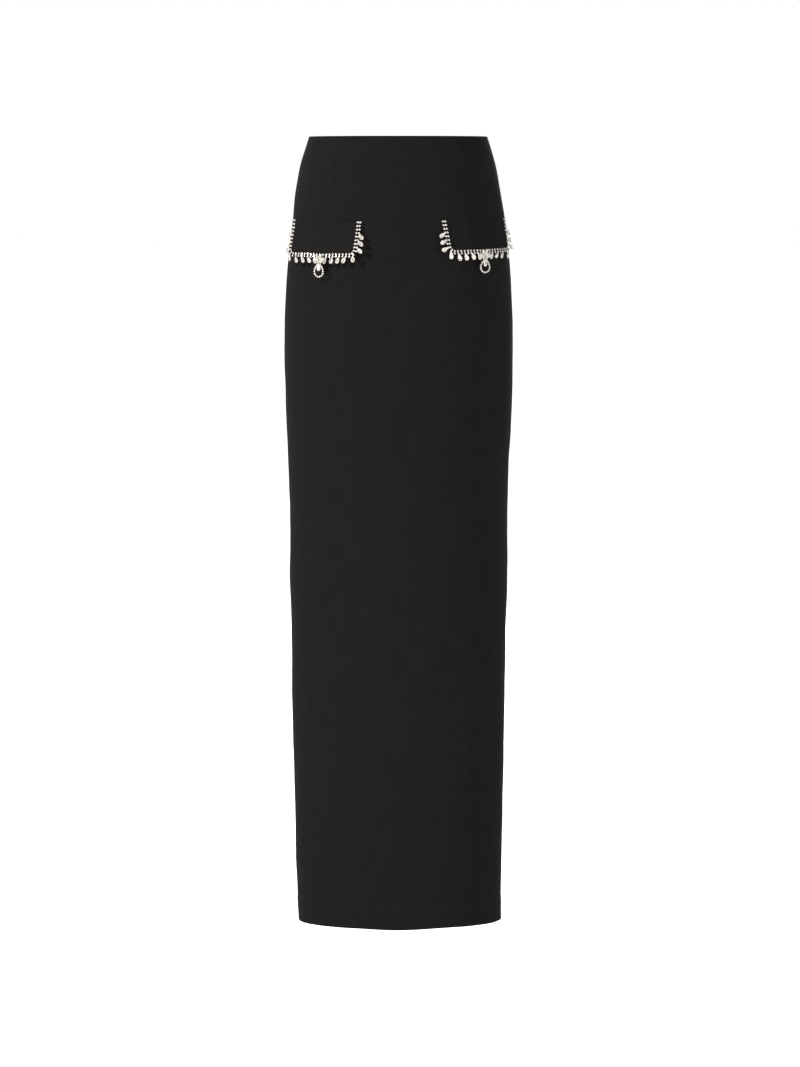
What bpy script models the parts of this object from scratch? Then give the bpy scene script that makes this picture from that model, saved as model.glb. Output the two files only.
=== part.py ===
# Full-length pencil skirt with two crystal-trimmed hip flaps, as closed solids.
#
# Metres, +Z up, the front faces -Y. The origin is at the middle of the waist, where the
# wearer's body holds the skirt. Left and right are the wearer's, so left is +X.
# A place on the skirt is an angle round it (0 at the centre front, +90 degrees at the
# left side, 180 at the centre back) and a drop below the top edge.

import math
from collections import namedtuple

import bmesh
import bpy
import numpy as np
from mathutils import Matrix, Vector

MM = 0.001

# The whole skirt
TOP_Z = 20 * MM  # the top edge above the waist mount
LENGTH = 1098 * MM
WALL = 1.5 * MM
SEAM_GAP = 0.3 * MM  # between two pieces that are sewn together
FRONT_SQUARENESS = 2.3  # exponent of the section's front half, 2 for an ellipse
BACK_SQUARENESS = 2.15
SIDE_SEAM = math.radians(94)  # just behind the side, out of the front view

# Level sections of the cloth's outer face, in millimetres
Section = namedtuple("Section", "drop half_width front_depth back_depth sway")
SECTIONS = (
    Section(0, 123.8, 91.0, 90.0, -0.8),
    Section(12, 127.6, 93.0, 92.5, -0.8),
    Section(36, 134.7, 97.0, 98.0, -1.2),
    Section(74, 142.0, 100.5, 108.0, -0.9),
    Section(130, 149.4, 104.5, 121.0, 0.4),
    Section(185, 155.6, 107.5, 129.5, -0.2),
    Section(241, 158.6, 110.0, 131.5, -0.2),
    Section(297, 159.3, 111.0, 129.0, 0.0),
    Section(381, 157.5, 109.5, 121.0, 0.0),
    Section(465, 154.0, 106.5, 113.5, -0.3),
    Section(549, 151.9, 103.5, 108.5, 0.1),
    Section(605, 152.3, 102.5, 106.5, -0.3),
    Section(661, 150.9, 101.0, 104.5, 0.0),
    Section(774, 149.4, 98.5, 101.5, -0.6),
    Section(887, 147.0, 96.5, 98.5, 0.0),
    Section(1000, 145.0, 94.5, 96.0, 0.0),
    Section(1098, 142.3, 93.0, 94.0, 1.4),
)

# Soft folds in the cloth: where, how far each runs and leans, and how deep it is (a
# negative depth stands out). Angles in degrees, lengths in millimetres.
Fold = namedtuple("Fold", "angle top bottom lean width depth")
FOLDS = (
    Fold(61, 168, 470, 0, 6.0, 2.4),
    Fold(73, 175, 440, -1, 5.0, -1.2),
    Fold(-66, 190, 420, 3, 8.0, 0.9),
    Fold(128, 250, 560, -4, 8.0, 2.0),
    Fold(-140, 230, 500, 5, 9.0, 2.2),
    Fold(165, 330, 620, 4, 8.0, 1.2),
    Fold(-112, 300, 700, -3, 9.0, 1.4),
)

# Dart seams, pressed into the outer face: angles at the top and at the lower end
Dart = namedtuple("Dart", "panel angle_top angle_end end")
DARTS = (
    Dart("front", 49.3, 47.0, 113 * MM),
    Dart("front", -49.3, -47.0, 113 * MM),
    Dart("back_left", 141.0, 143.0, 135 * MM),
    Dart("back_right", -141.0, -143.0, 135 * MM),
)
DART_HALF_WIDTH = 1.3 * MM
DART_DEPTH = 0.6 * MM
DART_END_CLEAR = 1 * MM  # the groove stops this far above a dart's end

# Centre back: closed by the zip, then sewn, then parted as a walking slit
SLIT_TOP = 700 * MM
SLIT_HALF_GAP = 2.0 * MM  # at the hem
ZIP_MOUTH_HALF_GAP = 1.35 * MM  # where the slider's neck passes
ZIP_MOUTH_END = 19 * MM
ZIP_MOUTH_CLOSED = 32 * MM

# Hip flaps: the seam that holds each one and its free lower edge, in degrees and
# millimetres, with how far the middle of the lower edge sags under its pendant
Edge = namedtuple("Edge", "angle_inner angle_outer drop_inner drop_outer")
Flap = namedtuple("Flap", "name sign seam low sag")
FLAPS = (
    Flap("right", -1, Edge(31.1, 75.0, 115.5, 114.3), Edge(32.6, 71.0, 161.6, 162.2), 0.9 * MM),
    Flap("left", 1, Edge(30.6, 73.8, 114.3, 113.0), Edge(32.8, 72.1, 157.6, 155.8), 0.3 * MM),
)
FLAP_WALL = 2.2 * MM
FLAP_TOP_WALL = 1.0 * MM  # pressed thin where it enters the seam
FLAP_PRESSED = 6 * MM  # how far down the pressed edge reaches
FLAP_CORNER = 7 * MM
FLAP_SAG_SPREAD = 0.1  # as a share of the flap's width
FLAP_LIFT_POWER = 1.2
# The stiff outer end leaves the hip already at the seam, from this share of the width on
FLAP_SEAM_KICK = 1.6 * MM
FLAP_KICK_FROM = 0.8
FLAP_KICK_OVER = 0.25
# How far each flap's lower edge stands off the skirt, across its width, in millimetres
Stand = namedtuple("Stand", "share right left")
STANDS = (
    Stand(-0.1, 7.8, 7.8),
    Stand(0.0, 7.0, 7.0),
    Stand(0.25, 4.8, 4.8),
    Stand(0.5, 3.6, 3.4),
    Stand(0.75, 5.2, 3.8),
    Stand(1.0, 10.0, 5.6),
    Stand(1.1, 12.4, 6.6),
)

# Cup chain round a flap
RUNG_PITCH = 5.1 * MM
RUNG_WIDTH = 6.8 * MM  # two stones
LINK_WIDTH = 5.0 * MM  # between two rungs
CHAIN_DEPTH = 2.3 * MM
CHAIN_OVERHANG = 1.0 * MM  # its middle line lies this far outside the cloth's edge
CHAIN_START = -1.0 * MM  # below the flap's seam: its first rung covers the seam's end

# Pear drops on every second rung
DROP_LENGTH = 10.0 * MM
DROP_WIDTH = 6.0 * MM
DROP_DEPTH = 2.4 * MM
DROP_SIDES = 8
DROP_ROOT = 1.3 * MM  # its apex from the chain's middle line
DROP_BACK = 0.15 * MM  # its back stands clear of the flap's face
DROP_EVERY = 2
DROP_FIRST = 3  # rungs from each end of the chain before the first drop
DROP_LEAN = math.radians(24)  # towards the middle, along the lower edge
DROP_LEAN_SPREAD = math.radians(7)
DROP_LEAN_RHYTHM = 2.4  # radians from one rung to the next, so that no two drops lean alike
DROP_SAG = math.radians(40)  # below level, on a flap's upright sides
SIDE_FROM = 0.9  # the chain's outward direction along p: above this it is on a flap's side
FLOOR_TO = 0.1  # and below this on its lower edge; a drop between them hangs straight down
CLUSTER_CLEAR = 7.0 * MM  # no drop hangs this near the cluster

# Crystal cluster and the ring that hangs from it
Stone = namedtuple("Stone", "across down angle length width")
CLUSTER_STONES = (  # millimetres from the chain's lower edge, degrees from straight down
    Stone(-0.9, -0.6, -152, 6.2, 3.4),
    Stone(0.9, -0.6, 152, 6.2, 3.4),
    Stone(-0.8, -0.8, -60, 9.2, 5.4),
    Stone(0.8, -0.8, 60, 9.2, 5.4),
)
CLUSTER_STONE_DEPTH = 2.6 * MM
CLUSTER_STONE_STEP = 0.1 * MM  # each stone lies this much further out than the one before
CLUSTER_BACK_RADIUS = 3.0 * MM
CLUSTER_HUB_DEPTH = 3.2 * MM
CLUSTER_MIDDLE = -0.6 * MM  # the hub's centre, below the chain's lower edge
HINGE_DOWN = 4.4 * MM  # the pendant's axis below the chain's lower edge
HINGE_OUT = 1.5 * MM
BAR_RADIUS = 0.6 * MM
BAR_HALF_LENGTH = 2.1 * MM
BAR_INSET = 0.2 * MM  # the bar's ends inside its lugs
LUG_WIDTH = 1.0 * MM
LUG_DEPTH = 1.5 * MM
BAIL_RADIUS = 1.5 * MM
BAIL_WIRE = 0.5 * MM
RING_WIDTH = 18.0 * MM  # over all
RING_HEIGHT = 21.0 * MM
RING_TUBE = 1.45 * MM
RING_POINTS = 16
RING_TOP = 1.1 * MM  # the ring's highest point below the axis
INNER_PEAR_LENGTH = 12.5 * MM
INNER_PEAR_WIDTH = 7.5 * MM
INNER_PEAR_DEPTH = 2.4 * MM
INNER_PEAR_TOP = 0.3 * MM  # its apex below the ring's highest point

# Concealed zip, on the inside of the centre-back seam
TAPE_HALF_WIDTH = 12 * MM
TAPE_WALL = 1.0 * MM
TAPE_TOP = 3 * MM
TAPE_BOTTOM = 215 * MM
TAPE_ROW_CLEAR = 2 * MM  # between the tape's ends and the nearest row of the back panels
TAPE_SLOT_DEPTH = 12 * MM
SLIDER_DROP = 12 * MM  # the slider's middle
SLIDER_WIDTH = 5.4 * MM
SLIDER_HEIGHT = 9.0 * MM
SLIDER_DEPTH = 2.8 * MM
SLIDER_PLAY = 0.15 * MM  # more room behind the slider, where the tape curves
NECK_WIDTH = 1.4 * MM
NECK_HEIGHT = 5.6 * MM
BRIDGE_OUT = 3.2 * MM  # how far the bridge stands out of the skirt
WINDOW_HEIGHT = 2.8 * MM
WINDOW_DEPTH = 1.7 * MM
WINDOW_SHIFT = 0.1 * MM  # towards the skirt from the pull's axis
PULL_OUT = 1.9 * MM  # the pull's axis outside the skirt's face
PULL_BAR_RADIUS = 0.45 * MM
PULL_ARM_SPREAD = 2.2 * MM
PULL_ARM_WIDTH = 0.9 * MM
PULL_THICKNESS = 0.9 * MM
PULL_ARM_EXTRA = 0.1 * MM  # an arm is this much thicker than the tab
PULL_TAB_TOP = 3.6 * MM
PULL_TAB_LENGTH = 18 * MM
PULL_TAB_WIDTH = 5.6 * MM
PULL_TAB_END = 0.75  # the rounded end's width as a share of the tab's

# Mesh fineness
ROWS_ABOVE_HIP = 10
ROWS_BELOW_HIP = 18
HIP_ROW = 116 * MM
PANEL_DROPS = np.concatenate(
    [
        np.linspace(0, HIP_ROW, ROWS_ABOVE_HIP),
        np.linspace(HIP_ROW, LENGTH, ROWS_BELOW_HIP)[1:],
    ]
)
DART_SPACE = 4.0  # degrees kept free of other columns beside a dart
COLUMN_STEP = 6.3  # degrees
FLAP_ROWS = 7
FLAP_CORNER_ROWS = 3
FLAP_COLUMNS = 13
FLAP_SHARES = np.linspace(-0.12, 1.12, 63)  # where its length along the hip is measured

for leftover in list(bpy.data.objects):
    bpy.data.objects.remove(leftover, do_unlink=True)

skirt_parts = bpy.data.collections.new("pencil_skirt")
joined_shapes = bpy.data.collections.new("pencil_skirt_cutters")
bpy.context.scene.collection.children.link(skirt_parts)
bpy.context.scene.collection.children.link(joined_shapes)


def make_material(name, colour, roughness, metallic):
    material = bpy.data.materials.new(name)
    material.use_nodes = True
    shader = material.node_tree.nodes["Principled BSDF"]
    shader.inputs["Base Color"].default_value = (*colour, 1.0)
    shader.inputs["Roughness"].default_value = roughness
    shader.inputs["Metallic"].default_value = metallic
    return material


# ---- The skirt's surface ----


def column_of(table, key, name):
    """A smooth curve through one column of a table, read by its key column."""
    at = np.array([getattr(row, key) for row in table], float)
    value = np.array([getattr(row, name) for row in table], float)
    slope = np.gradient(value, at)

    def read(x):
        i = np.clip(np.searchsorted(at, x, side="right") - 1, 0, len(at) - 2)
        step = at[i + 1] - at[i]
        t = (x - at[i]) / step
        from_value = value[i] * (1 + 2 * t) * (1 - t) ** 2 + value[i + 1] * t**2 * (3 - 2 * t)
        from_slope = slope[i] * t * (1 - t) ** 2 - slope[i + 1] * t**2 * (1 - t)
        return from_value + step * from_slope

    return read


half_width = column_of(SECTIONS, "drop", "half_width")
front_depth = column_of(SECTIONS, "drop", "front_depth")
back_depth = column_of(SECTIONS, "drop", "back_depth")
sway = column_of(SECTIONS, "drop", "sway")


def fold_depth(angle, drop):
    """How far the folds push the cloth in, in metres."""
    degrees = np.degrees(angle)
    total = 0.0
    for fold in FOLDS:
        run = np.clip((drop / MM - fold.top) / (fold.bottom - fold.top), 0, 1)
        middle = fold.angle + fold.lean * run
        across = (degrees - middle + 180) % 360 - 180
        total = total + fold.depth * MM * np.sin(math.pi * run) ** 2 * np.exp(-((across / fold.width) ** 2))
    return total


def skin(angle, drop):
    """Points on the cloth's outer face. Angles in radians, drops in metres, as arrays."""
    angle, drop = np.broadcast_arrays(np.asarray(angle, float), np.asarray(drop, float))
    level = drop / MM
    to_front = np.cos(angle) > 0
    depth = np.where(to_front, front_depth(level), back_depth(level)) * MM
    power = np.where(to_front, FRONT_SQUARENESS, BACK_SQUARENESS)
    width = half_width(level) * MM
    reach = (np.abs(np.sin(angle)) / width) ** power + (np.abs(np.cos(angle)) / depth) ** power
    reach = reach ** (-1 / power) - fold_depth(angle, drop)
    x = reach * np.sin(angle) + sway(level) * MM
    return np.stack([x, -reach * np.cos(angle), TOP_Z - drop], axis=-1)


def unit(vectors):
    return vectors / np.linalg.norm(vectors, axis=-1, keepdims=True)


def outward(angle, drop):
    """Unit normals of the outer face."""
    turn = 0.002
    step = 0.5 * MM
    along = skin(np.asarray(angle) + turn, drop) - skin(np.asarray(angle) - turn, drop)
    down = skin(angle, np.asarray(drop) + step) - skin(angle, np.asarray(drop) - step)
    return unit(np.cross(down, along))


def ease(x):
    """0 to 1 as x goes from 0 to 1, level at both ends."""
    x = np.clip(x, 0, 1)
    return x * x * (3 - 2 * x)


# ---- Meshes ----


def add_object(name, mesh, material, collection=skirt_parts):
    mesh.materials.append(material)
    made = bpy.data.objects.new(name, mesh)
    collection.objects.link(made)
    mesh.shade_smooth()
    mesh.set_sharp_from_angle(angle=math.radians(35))
    return made


def finish_bmesh(shape, name):
    shape.normal_update()
    bmesh.ops.recalc_face_normals(shape, faces=shape.faces)
    mesh = bpy.data.meshes.new(name)
    shape.to_mesh(mesh)
    shape.free()
    return mesh


def wall_mesh(name, outside, inside):
    """A closed wall lofted between two grids of points, rows by columns."""
    shape = bmesh.new()
    rows, columns = outside.shape[:2]
    grids = [[[shape.verts.new(point) for point in row] for row in grid] for grid in (outside, inside)]
    for grid in grids:
        for r in range(rows - 1):
            for c in range(columns - 1):
                shape.faces.new((grid[r][c], grid[r][c + 1], grid[r + 1][c + 1], grid[r + 1][c]))
    rim = [(0, c) for c in range(columns - 1)]
    rim += [(r, columns - 1) for r in range(rows - 1)]
    rim += [(rows - 1, c) for c in range(columns - 1, 0, -1)]
    rim += [(r, 0) for r in range(rows - 1, 0, -1)]
    outer, inner = grids
    for (r, c), (r2, c2) in zip(rim, rim[1:] + rim[:1]):
        shape.faces.new((outer[r][c], outer[r2][c2], inner[r2][c2], inner[r][c]))
    return finish_bmesh(shape, name)


def pear_outline(length, width, sides):
    """A pear's outline: its apex at the start, its round end at the length. (across, down)."""
    turns = np.linspace(0, 2 * math.pi, sides, endpoint=False)
    across = np.sin(turns) * np.sin(turns / 2)
    across *= width / 2 / np.abs(across).max()
    down = length * (1 - np.cos(turns)) / 2
    return np.stack([across, down], axis=-1)


Place = namedtuple("Place", "origin across down out")


def prism_mesh(name, outline, back, front, place, turn=0.0, shift=(0.0, 0.0), face_share=0.8):
    """An outline (across, down) given depth from back to front, its front face drawn in."""
    turned = np.array([[math.cos(turn), -math.sin(turn)], [math.sin(turn), math.cos(turn)]])
    flat = outline @ turned + np.array(shift)
    middle = flat.mean(axis=0)
    shape = bmesh.new()
    levels = ((back, flat), ((back + front) / 2, flat), (front, middle + (flat - middle) * face_share))
    rings = []
    for out, points in levels:
        spots = [place.origin + a * place.across + d * place.down + out * place.out for a, d in points]
        rings.append([shape.verts.new(spot) for spot in spots])
    shape.faces.new(rings[0])
    shape.faces.new(rings[-1])
    for low, high in zip(rings, rings[1:]):
        for k in range(len(low)):
            k2 = (k + 1) % len(low)
            shape.faces.new((low[k], low[k2], high[k2], high[k]))
    return finish_bmesh(shape, name)


def box_mesh(name, place, size, middle):
    """A box in a place's own directions: size and middle are (across, down, out)."""
    shape = bmesh.new()
    bmesh.ops.create_cube(shape, size=1.0)
    axes = np.array([place.across, place.down, place.out])
    for vert in shape.verts:
        local = np.array(vert.co) * np.array(size) + np.array(middle)
        vert.co = place.origin + local @ axes
    return finish_bmesh(shape, name)


def rod_mesh(name, place, radius, half_length, down, out, sides=8):
    """A round bar that lies along a place's across direction."""
    shape = bmesh.new()
    bmesh.ops.create_cone(
        shape, cap_ends=True, segments=sides, radius1=radius, radius2=radius, depth=2 * half_length
    )
    for vert in shape.verts:
        x, y, z = vert.co
        vert.co = place.origin + z * place.across + (down + x) * place.down + (out + y) * place.out
    return finish_bmesh(shape, name)


def combine(base, mesh, operation):
    """A Boolean of a mesh with the base object, which takes it in or is cut by it."""
    piece = add_object(mesh.name, mesh, base.data.materials[0], joined_shapes)
    piece.hide_render = True
    piece.display_type = "WIRE"
    boolean = base.modifiers.new(mesh.name, "BOOLEAN")
    boolean.operation = operation
    boolean.solver = "EXACT"
    boolean.object = piece


def join_to(base, meshes):
    for mesh in meshes:
        combine(base, mesh, "UNION")


def merge_meshes(name, meshes):
    """One mesh of separate closed shapes."""
    shape = bmesh.new()
    for mesh in meshes:
        shape.from_mesh(mesh)
        bpy.data.meshes.remove(mesh)
    merged = bpy.data.meshes.new(name)
    shape.to_mesh(merged)
    shape.free()
    return merged


# ---- The panels ----

cloth = make_material("black_crepe", (0.014, 0.013, 0.0125), 0.86, 0.0)


def back_half_gap(drop):
    """Half the gap between the back panels: at the zip's mouth, along the seam and in the slit."""
    mouth = ZIP_MOUTH_HALF_GAP * (1 - ease((drop - ZIP_MOUTH_END) / (ZIP_MOUTH_CLOSED - ZIP_MOUTH_END)))
    slit = SLIT_HALF_GAP * np.clip((drop - SLIT_TOP) / (LENGTH - SLIT_TOP), 0, 1) ** 1.5
    return np.maximum(SEAM_GAP / 2, mouth + slit)


def panel_columns(panel, start, end, drops):
    """Angles for a panel's columns, a row for each drop, and which columns are a dart's groove.

    start and end are angles for each drop. Darts have three columns of their own."""
    darts = [dart for dart in DARTS if dart.panel == panel]
    marks = [np.degrees(start)]
    is_groove = [False]
    dart_lines = []
    for dart in sorted(darts, key=lambda dart: dart.angle_top):
        down = np.clip(drops / dart.end, 0, 1)
        dart_lines.append(dart.angle_top + (dart.angle_end - dart.angle_top) * down)
    stops = dart_lines + [np.degrees(end)]
    for number, stop in enumerate(stops):
        is_dart = number < len(dart_lines)
        after = marks[-1] + (DART_SPACE if number else 0)
        before = stop - (DART_SPACE if is_dart else 0)
        count = max(1, round(float(np.mean(before - after)) / COLUMN_STEP))
        first = 0 if number else 1
        for k in range(first, count + 1):
            marks.append(after + (before - after) * k / count)
            is_groove.append(False)
        if is_dart:
            reach = np.linalg.norm(skin(np.radians(stop), drops)[:, :2], axis=1)
            half = np.degrees(DART_HALF_WIDTH / reach)
            marks += [stop - half, stop, stop + half]
            is_groove += [False, True, False]
    return np.radians(np.stack(marks, axis=1)), np.array(is_groove)


def make_panel(name, panel, start, end):
    """One cloth panel from the angle start to the angle end, both functions of the drop.

    Returns its inner face's points."""
    angles, is_groove = panel_columns(panel, start(PANEL_DROPS), end(PANEL_DROPS), PANEL_DROPS)
    levels = np.repeat(PANEL_DROPS[:, None], angles.shape[1], axis=1)
    face = skin(angles, levels)
    normals = outward(angles, levels)
    dart_end = max(dart.end for dart in DARTS if dart.panel == panel)
    groove = np.where(is_groove[None, :] & (levels < dart_end - DART_END_CLEAR), DART_DEPTH, 0.0)
    outside = face - normals * groove[..., None]
    inside = face - normals * WALL
    add_object(name, wall_mesh(name, outside, inside), cloth)
    return inside


def seam_at(angle, side):
    """The angle of a panel's edge at a side seam, half a seam gap to one side of it."""
    return lambda drop: angle + side * SEAM_GAP / 2 / (half_width(drop / MM) * MM)


def centre_back(side):
    return lambda drop: side * (math.pi - back_half_gap(drop) / (back_depth(drop / MM) * MM))


make_panel("front_panel", "front", seam_at(-SIDE_SEAM, 1), seam_at(SIDE_SEAM, -1))
left_inside = make_panel("back_panel_left", "back_left", seam_at(SIDE_SEAM, 1), centre_back(1))
right_inside = make_panel("back_panel_right", "back_right", centre_back(-1), seam_at(-SIDE_SEAM, -1))


# ---- The hip flaps ----


def between(start, end, share):
    return start + (end - start) * share


class FlapSurface:
    """A flap's inner face, moved out from the skirt's own points. A place on it is p
    metres along the hip from its inner end and q metres below its seam."""

    def __init__(self, flap):
        self.flap = flap
        inner_height = flap.low.drop_inner - flap.seam.drop_inner
        outer_height = flap.low.drop_outer - flap.seam.drop_outer
        self.height = (inner_height + outer_height) / 2 * MM
        self.stand_off = column_of(STANDS, "share", flap.name)
        middle = self.by_share(FLAP_SHARES, self.height / 2, 0.0)
        steps = np.linalg.norm(np.diff(middle, axis=0), axis=1)
        along = np.concatenate([[0.0], np.cumsum(steps)])
        self.along = along - np.interp(0.0, FLAP_SHARES, along)
        self.width = float(np.interp(1.0, FLAP_SHARES, self.along))

    def by_share(self, share, q, lift):
        seam, low, sag = self.flap.seam, self.flap.low, self.flap.sag
        down = q / self.height
        seam_angle = between(seam.angle_inner, seam.angle_outer, share)
        low_angle = between(low.angle_inner, low.angle_outer, share)
        angle = self.flap.sign * np.radians(between(seam_angle, low_angle, down))
        seam_drop = between(seam.drop_inner, seam.drop_outer, share) * MM
        low_drop = between(low.drop_inner, low.drop_outer, share) * MM
        droop = sag * down**2 * np.exp(-(((share - 0.5) / FLAP_SAG_SPREAD) ** 2))
        drop = between(seam_drop, low_drop, down) + droop
        kick = FLAP_SEAM_KICK * ease((share - FLAP_KICK_FROM) / FLAP_KICK_OVER) * (1 - down)
        stand = self.stand_off(share) * MM * np.maximum(down, 0) ** FLAP_LIFT_POWER
        away = SEAM_GAP + kick + stand + lift
        return skin(angle, drop) + outward(angle, drop) * away[..., None]

    def at(self, p, q, lift=0.0):
        """Points at p and q, lifted outwards from the flap's inner face."""
        p, q, lift = np.broadcast_arrays(*(np.asarray(v, float) for v in (p, q, lift)))
        return self.by_share(np.interp(p, self.along, FLAP_SHARES), q, lift)


def flap_rows(height):
    straight = np.linspace(0, height - FLAP_CORNER, FLAP_ROWS)
    round_part = np.sin(np.linspace(0, math.pi / 2, FLAP_CORNER_ROWS + 1))[1:]
    return np.concatenate([straight, height - FLAP_CORNER * (1 - round_part)])


def corner_inset(height, q):
    """How far the rounded lower corners draw a row in."""
    into = np.clip(q - (height - FLAP_CORNER), 0, FLAP_CORNER)
    return FLAP_CORNER - np.sqrt(FLAP_CORNER**2 - into**2)


def make_flap(surface):
    q = flap_rows(surface.height)
    inset = corner_inset(surface.height, q)
    across = np.linspace(0, 1, FLAP_COLUMNS)
    p = inset[:, None] + (surface.width - 2 * inset)[:, None] * across[None, :]
    q = np.repeat(q[:, None], FLAP_COLUMNS, axis=1)
    thickness = FLAP_TOP_WALL + (FLAP_WALL - FLAP_TOP_WALL) * ease(q / FLAP_PRESSED)
    name = f"flap_{surface.flap.name}"
    add_object(name, wall_mesh(name, surface.at(p, q, thickness), surface.at(p, q)), cloth)


# ---- The chain and its drops ----

silver = make_material("silver_setting", (0.78, 0.77, 0.74), 0.25, 0.9)


class ChainRoute:
    """The chain's middle line: down a flap's inner side, along its lower edge and up its
    outer side, with the outward direction at each place, in the flap's own p and q."""

    def __init__(self, surface):
        self.radius = FLAP_CORNER + CHAIN_OVERHANG
        self.left = -CHAIN_OVERHANG
        self.right = surface.width + CHAIN_OVERHANG
        self.bend_q = surface.height - FLAP_CORNER
        self.side = self.bend_q - CHAIN_START
        self.quarter = math.pi * self.radius / 2
        self.floor = surface.width - 2 * FLAP_CORNER
        self.length = 2 * (self.side + self.quarter) + self.floor

    def at(self, s):
        """(p, q, outward p, outward q) s metres along the route."""
        if s > self.length / 2:
            p, q, out_p, out_q = self.at(self.length - s)
            return self.left + self.right - p, q, -out_p, out_q
        if s < self.side:
            return self.left, CHAIN_START + s, -1.0, 0.0
        turn = min((s - self.side) / self.radius, math.pi / 2)
        along = max(0.0, s - self.side - self.quarter)
        centre_p = self.left + self.radius
        p = centre_p - self.radius * math.cos(turn) + along
        q = self.bend_q + self.radius * math.sin(turn)
        return p, q, -math.cos(turn), math.sin(turn)


def chain_mesh(name, surface, route, rungs):
    """The chain as one strip, wide at each rung and narrow at each link."""
    back = FLAP_WALL + SEAM_GAP
    pitch = route.length / rungs
    rings = []
    for k in range(2 * rungs + 1):
        is_rung = k % 2 == 1
        half = (RUNG_WIDTH if is_rung else LINK_WIDTH) / 2
        p, q, out_p, out_q = route.at(k * pitch / 2)
        corners = ((-half, back), (half, back), (half, back + CHAIN_DEPTH), (-half, back + CHAIN_DEPTH))
        rings.append([surface.at(p + w * out_p, q + w * out_q, lift) for w, lift in corners])
    shape = bmesh.new()
    loops = [[shape.verts.new(point) for point in ring] for ring in rings]
    shape.faces.new(loops[0])
    shape.faces.new(loops[-1])
    for low, high in zip(loops, loops[1:]):
        for k in range(4):
            k2 = (k + 1) % 4
            shape.faces.new((low[k], low[k2], high[k2], high[k]))
    return finish_bmesh(shape, name)


def upright_place(surface, p, q, lift):
    """A place on a flap: its point, level along the hip, straight down, and outwards."""
    step = 0.5 * MM
    across = surface.at(p + step, q, lift) - surface.at(p - step, q, lift)
    across = unit(across * np.array([1.0, 1.0, 0.0]))
    down = np.array([0.0, 0.0, -1.0])
    return Place(surface.at(p, q, lift), across, down, np.cross(down, across) * surface.flap.sign)


def drop_turns(surface, route, rungs):
    """(s, turn) for each drop: where its rung is, and its turn from straight down."""
    pitch = route.length / rungs
    middle = surface.width / 2
    drops = []
    for k in range(rungs):
        from_end = min(k, rungs - 1 - k)
        if from_end < DROP_FIRST or (from_end - DROP_FIRST) % DROP_EVERY:
            continue
        s = (k + 0.5) * pitch
        p, q, out_p, out_q = route.at(s)
        if abs(p - middle) < CLUSTER_CLEAR:
            continue
        turn = DROP_LEAN_SPREAD * math.sin(DROP_LEAN_RHYTHM * k)
        if abs(out_p) > SIDE_FROM:
            turn += math.copysign(math.pi / 2 - DROP_SAG, out_p)
        elif abs(out_p) < FLOOR_TO:
            turn += math.copysign(DROP_LEAN, middle - p)
        drops.append((s, turn))
    return drops


def drop_mesh(name, surface, route, s, turn):
    p, q, out_p, out_q = route.at(s)
    place = upright_place(surface, p + DROP_ROOT * out_p, q + DROP_ROOT * out_q, FLAP_WALL + SEAM_GAP)
    outline = pear_outline(DROP_LENGTH, DROP_WIDTH, DROP_SIDES)
    return prism_mesh(name, outline, DROP_BACK, DROP_DEPTH, place, turn=turn)


def make_trim(surface):
    name = f"trim_{surface.flap.name}"
    route = ChainRoute(surface)
    rungs = round(route.length / RUNG_PITCH)
    trim = add_object(name, chain_mesh(name, surface, route, rungs), silver)
    drops = [
        drop_mesh(f"{name}_drop", surface, route, s, turn) for s, turn in drop_turns(surface, route, rungs)
    ]
    join_to(trim, [merge_meshes(f"{name}_drops", drops)])


# ---- The cluster and its ring ----


def cluster_place(surface):
    """An upright place at the middle of the chain's lower edge, a seam gap off its face."""
    q = surface.height + CHAIN_OVERHANG + RUNG_WIDTH / 2
    place = upright_place(surface, surface.width / 2, q, FLAP_WALL + SEAM_GAP + CHAIN_DEPTH)
    return place._replace(origin=place.origin + place.out * SEAM_GAP)


def make_cluster(surface, place):
    name = f"cluster_{surface.flap.name}"
    turns = np.linspace(0, 2 * math.pi, 8, endpoint=False) + math.pi / 8
    hub = np.stack([np.cos(turns), np.sin(turns)], axis=-1) * CLUSTER_BACK_RADIUS
    cluster_mesh = prism_mesh(name, hub, 0.0, CLUSTER_HUB_DEPTH, place, shift=(0.0, CLUSTER_MIDDLE))
    cluster = add_object(name, cluster_mesh, silver)
    pieces = []
    for number, stone in enumerate(CLUSTER_STONES):
        outline = pear_outline(stone.length * MM, stone.width * MM, DROP_SIDES)
        turn = math.radians(stone.angle)
        spot = (stone.across * MM, stone.down * MM)
        back = CLUSTER_STONE_STEP * (1 + number)
        front = back + CLUSTER_STONE_DEPTH
        pieces.append(prism_mesh(f"{name}_stone", outline, back, front, place, turn, spot))
    for side in (-1, 1):
        middle = (side * (BAR_HALF_LENGTH - LUG_WIDTH / 2), (HINGE_DOWN + BAR_RADIUS) / 2, HINGE_OUT)
        size = (LUG_WIDTH, HINGE_DOWN + BAR_RADIUS, LUG_DEPTH)
        pieces.append(box_mesh(f"{name}_lug", place, size, middle))
    bar_half = BAR_HALF_LENGTH - BAR_INSET
    pieces.append(rod_mesh(f"{name}_bar", place, BAR_RADIUS, bar_half, HINGE_DOWN, HINGE_OUT))
    join_to(cluster, pieces)


def ring_path():
    """The teardrop ring's middle line as (across, down) from its highest point."""
    turns = np.linspace(0, 2 * math.pi, RING_POINTS, endpoint=False)
    across = np.sin(turns) * np.sin(turns / 2) ** 0.6
    across *= (RING_WIDTH / 2 - RING_TUBE) / np.abs(across).max()
    down = (RING_HEIGHT - 2 * RING_TUBE) * (1 - np.cos(turns)) / 2
    return np.stack([across, down + RING_TUBE], axis=-1)


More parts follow.
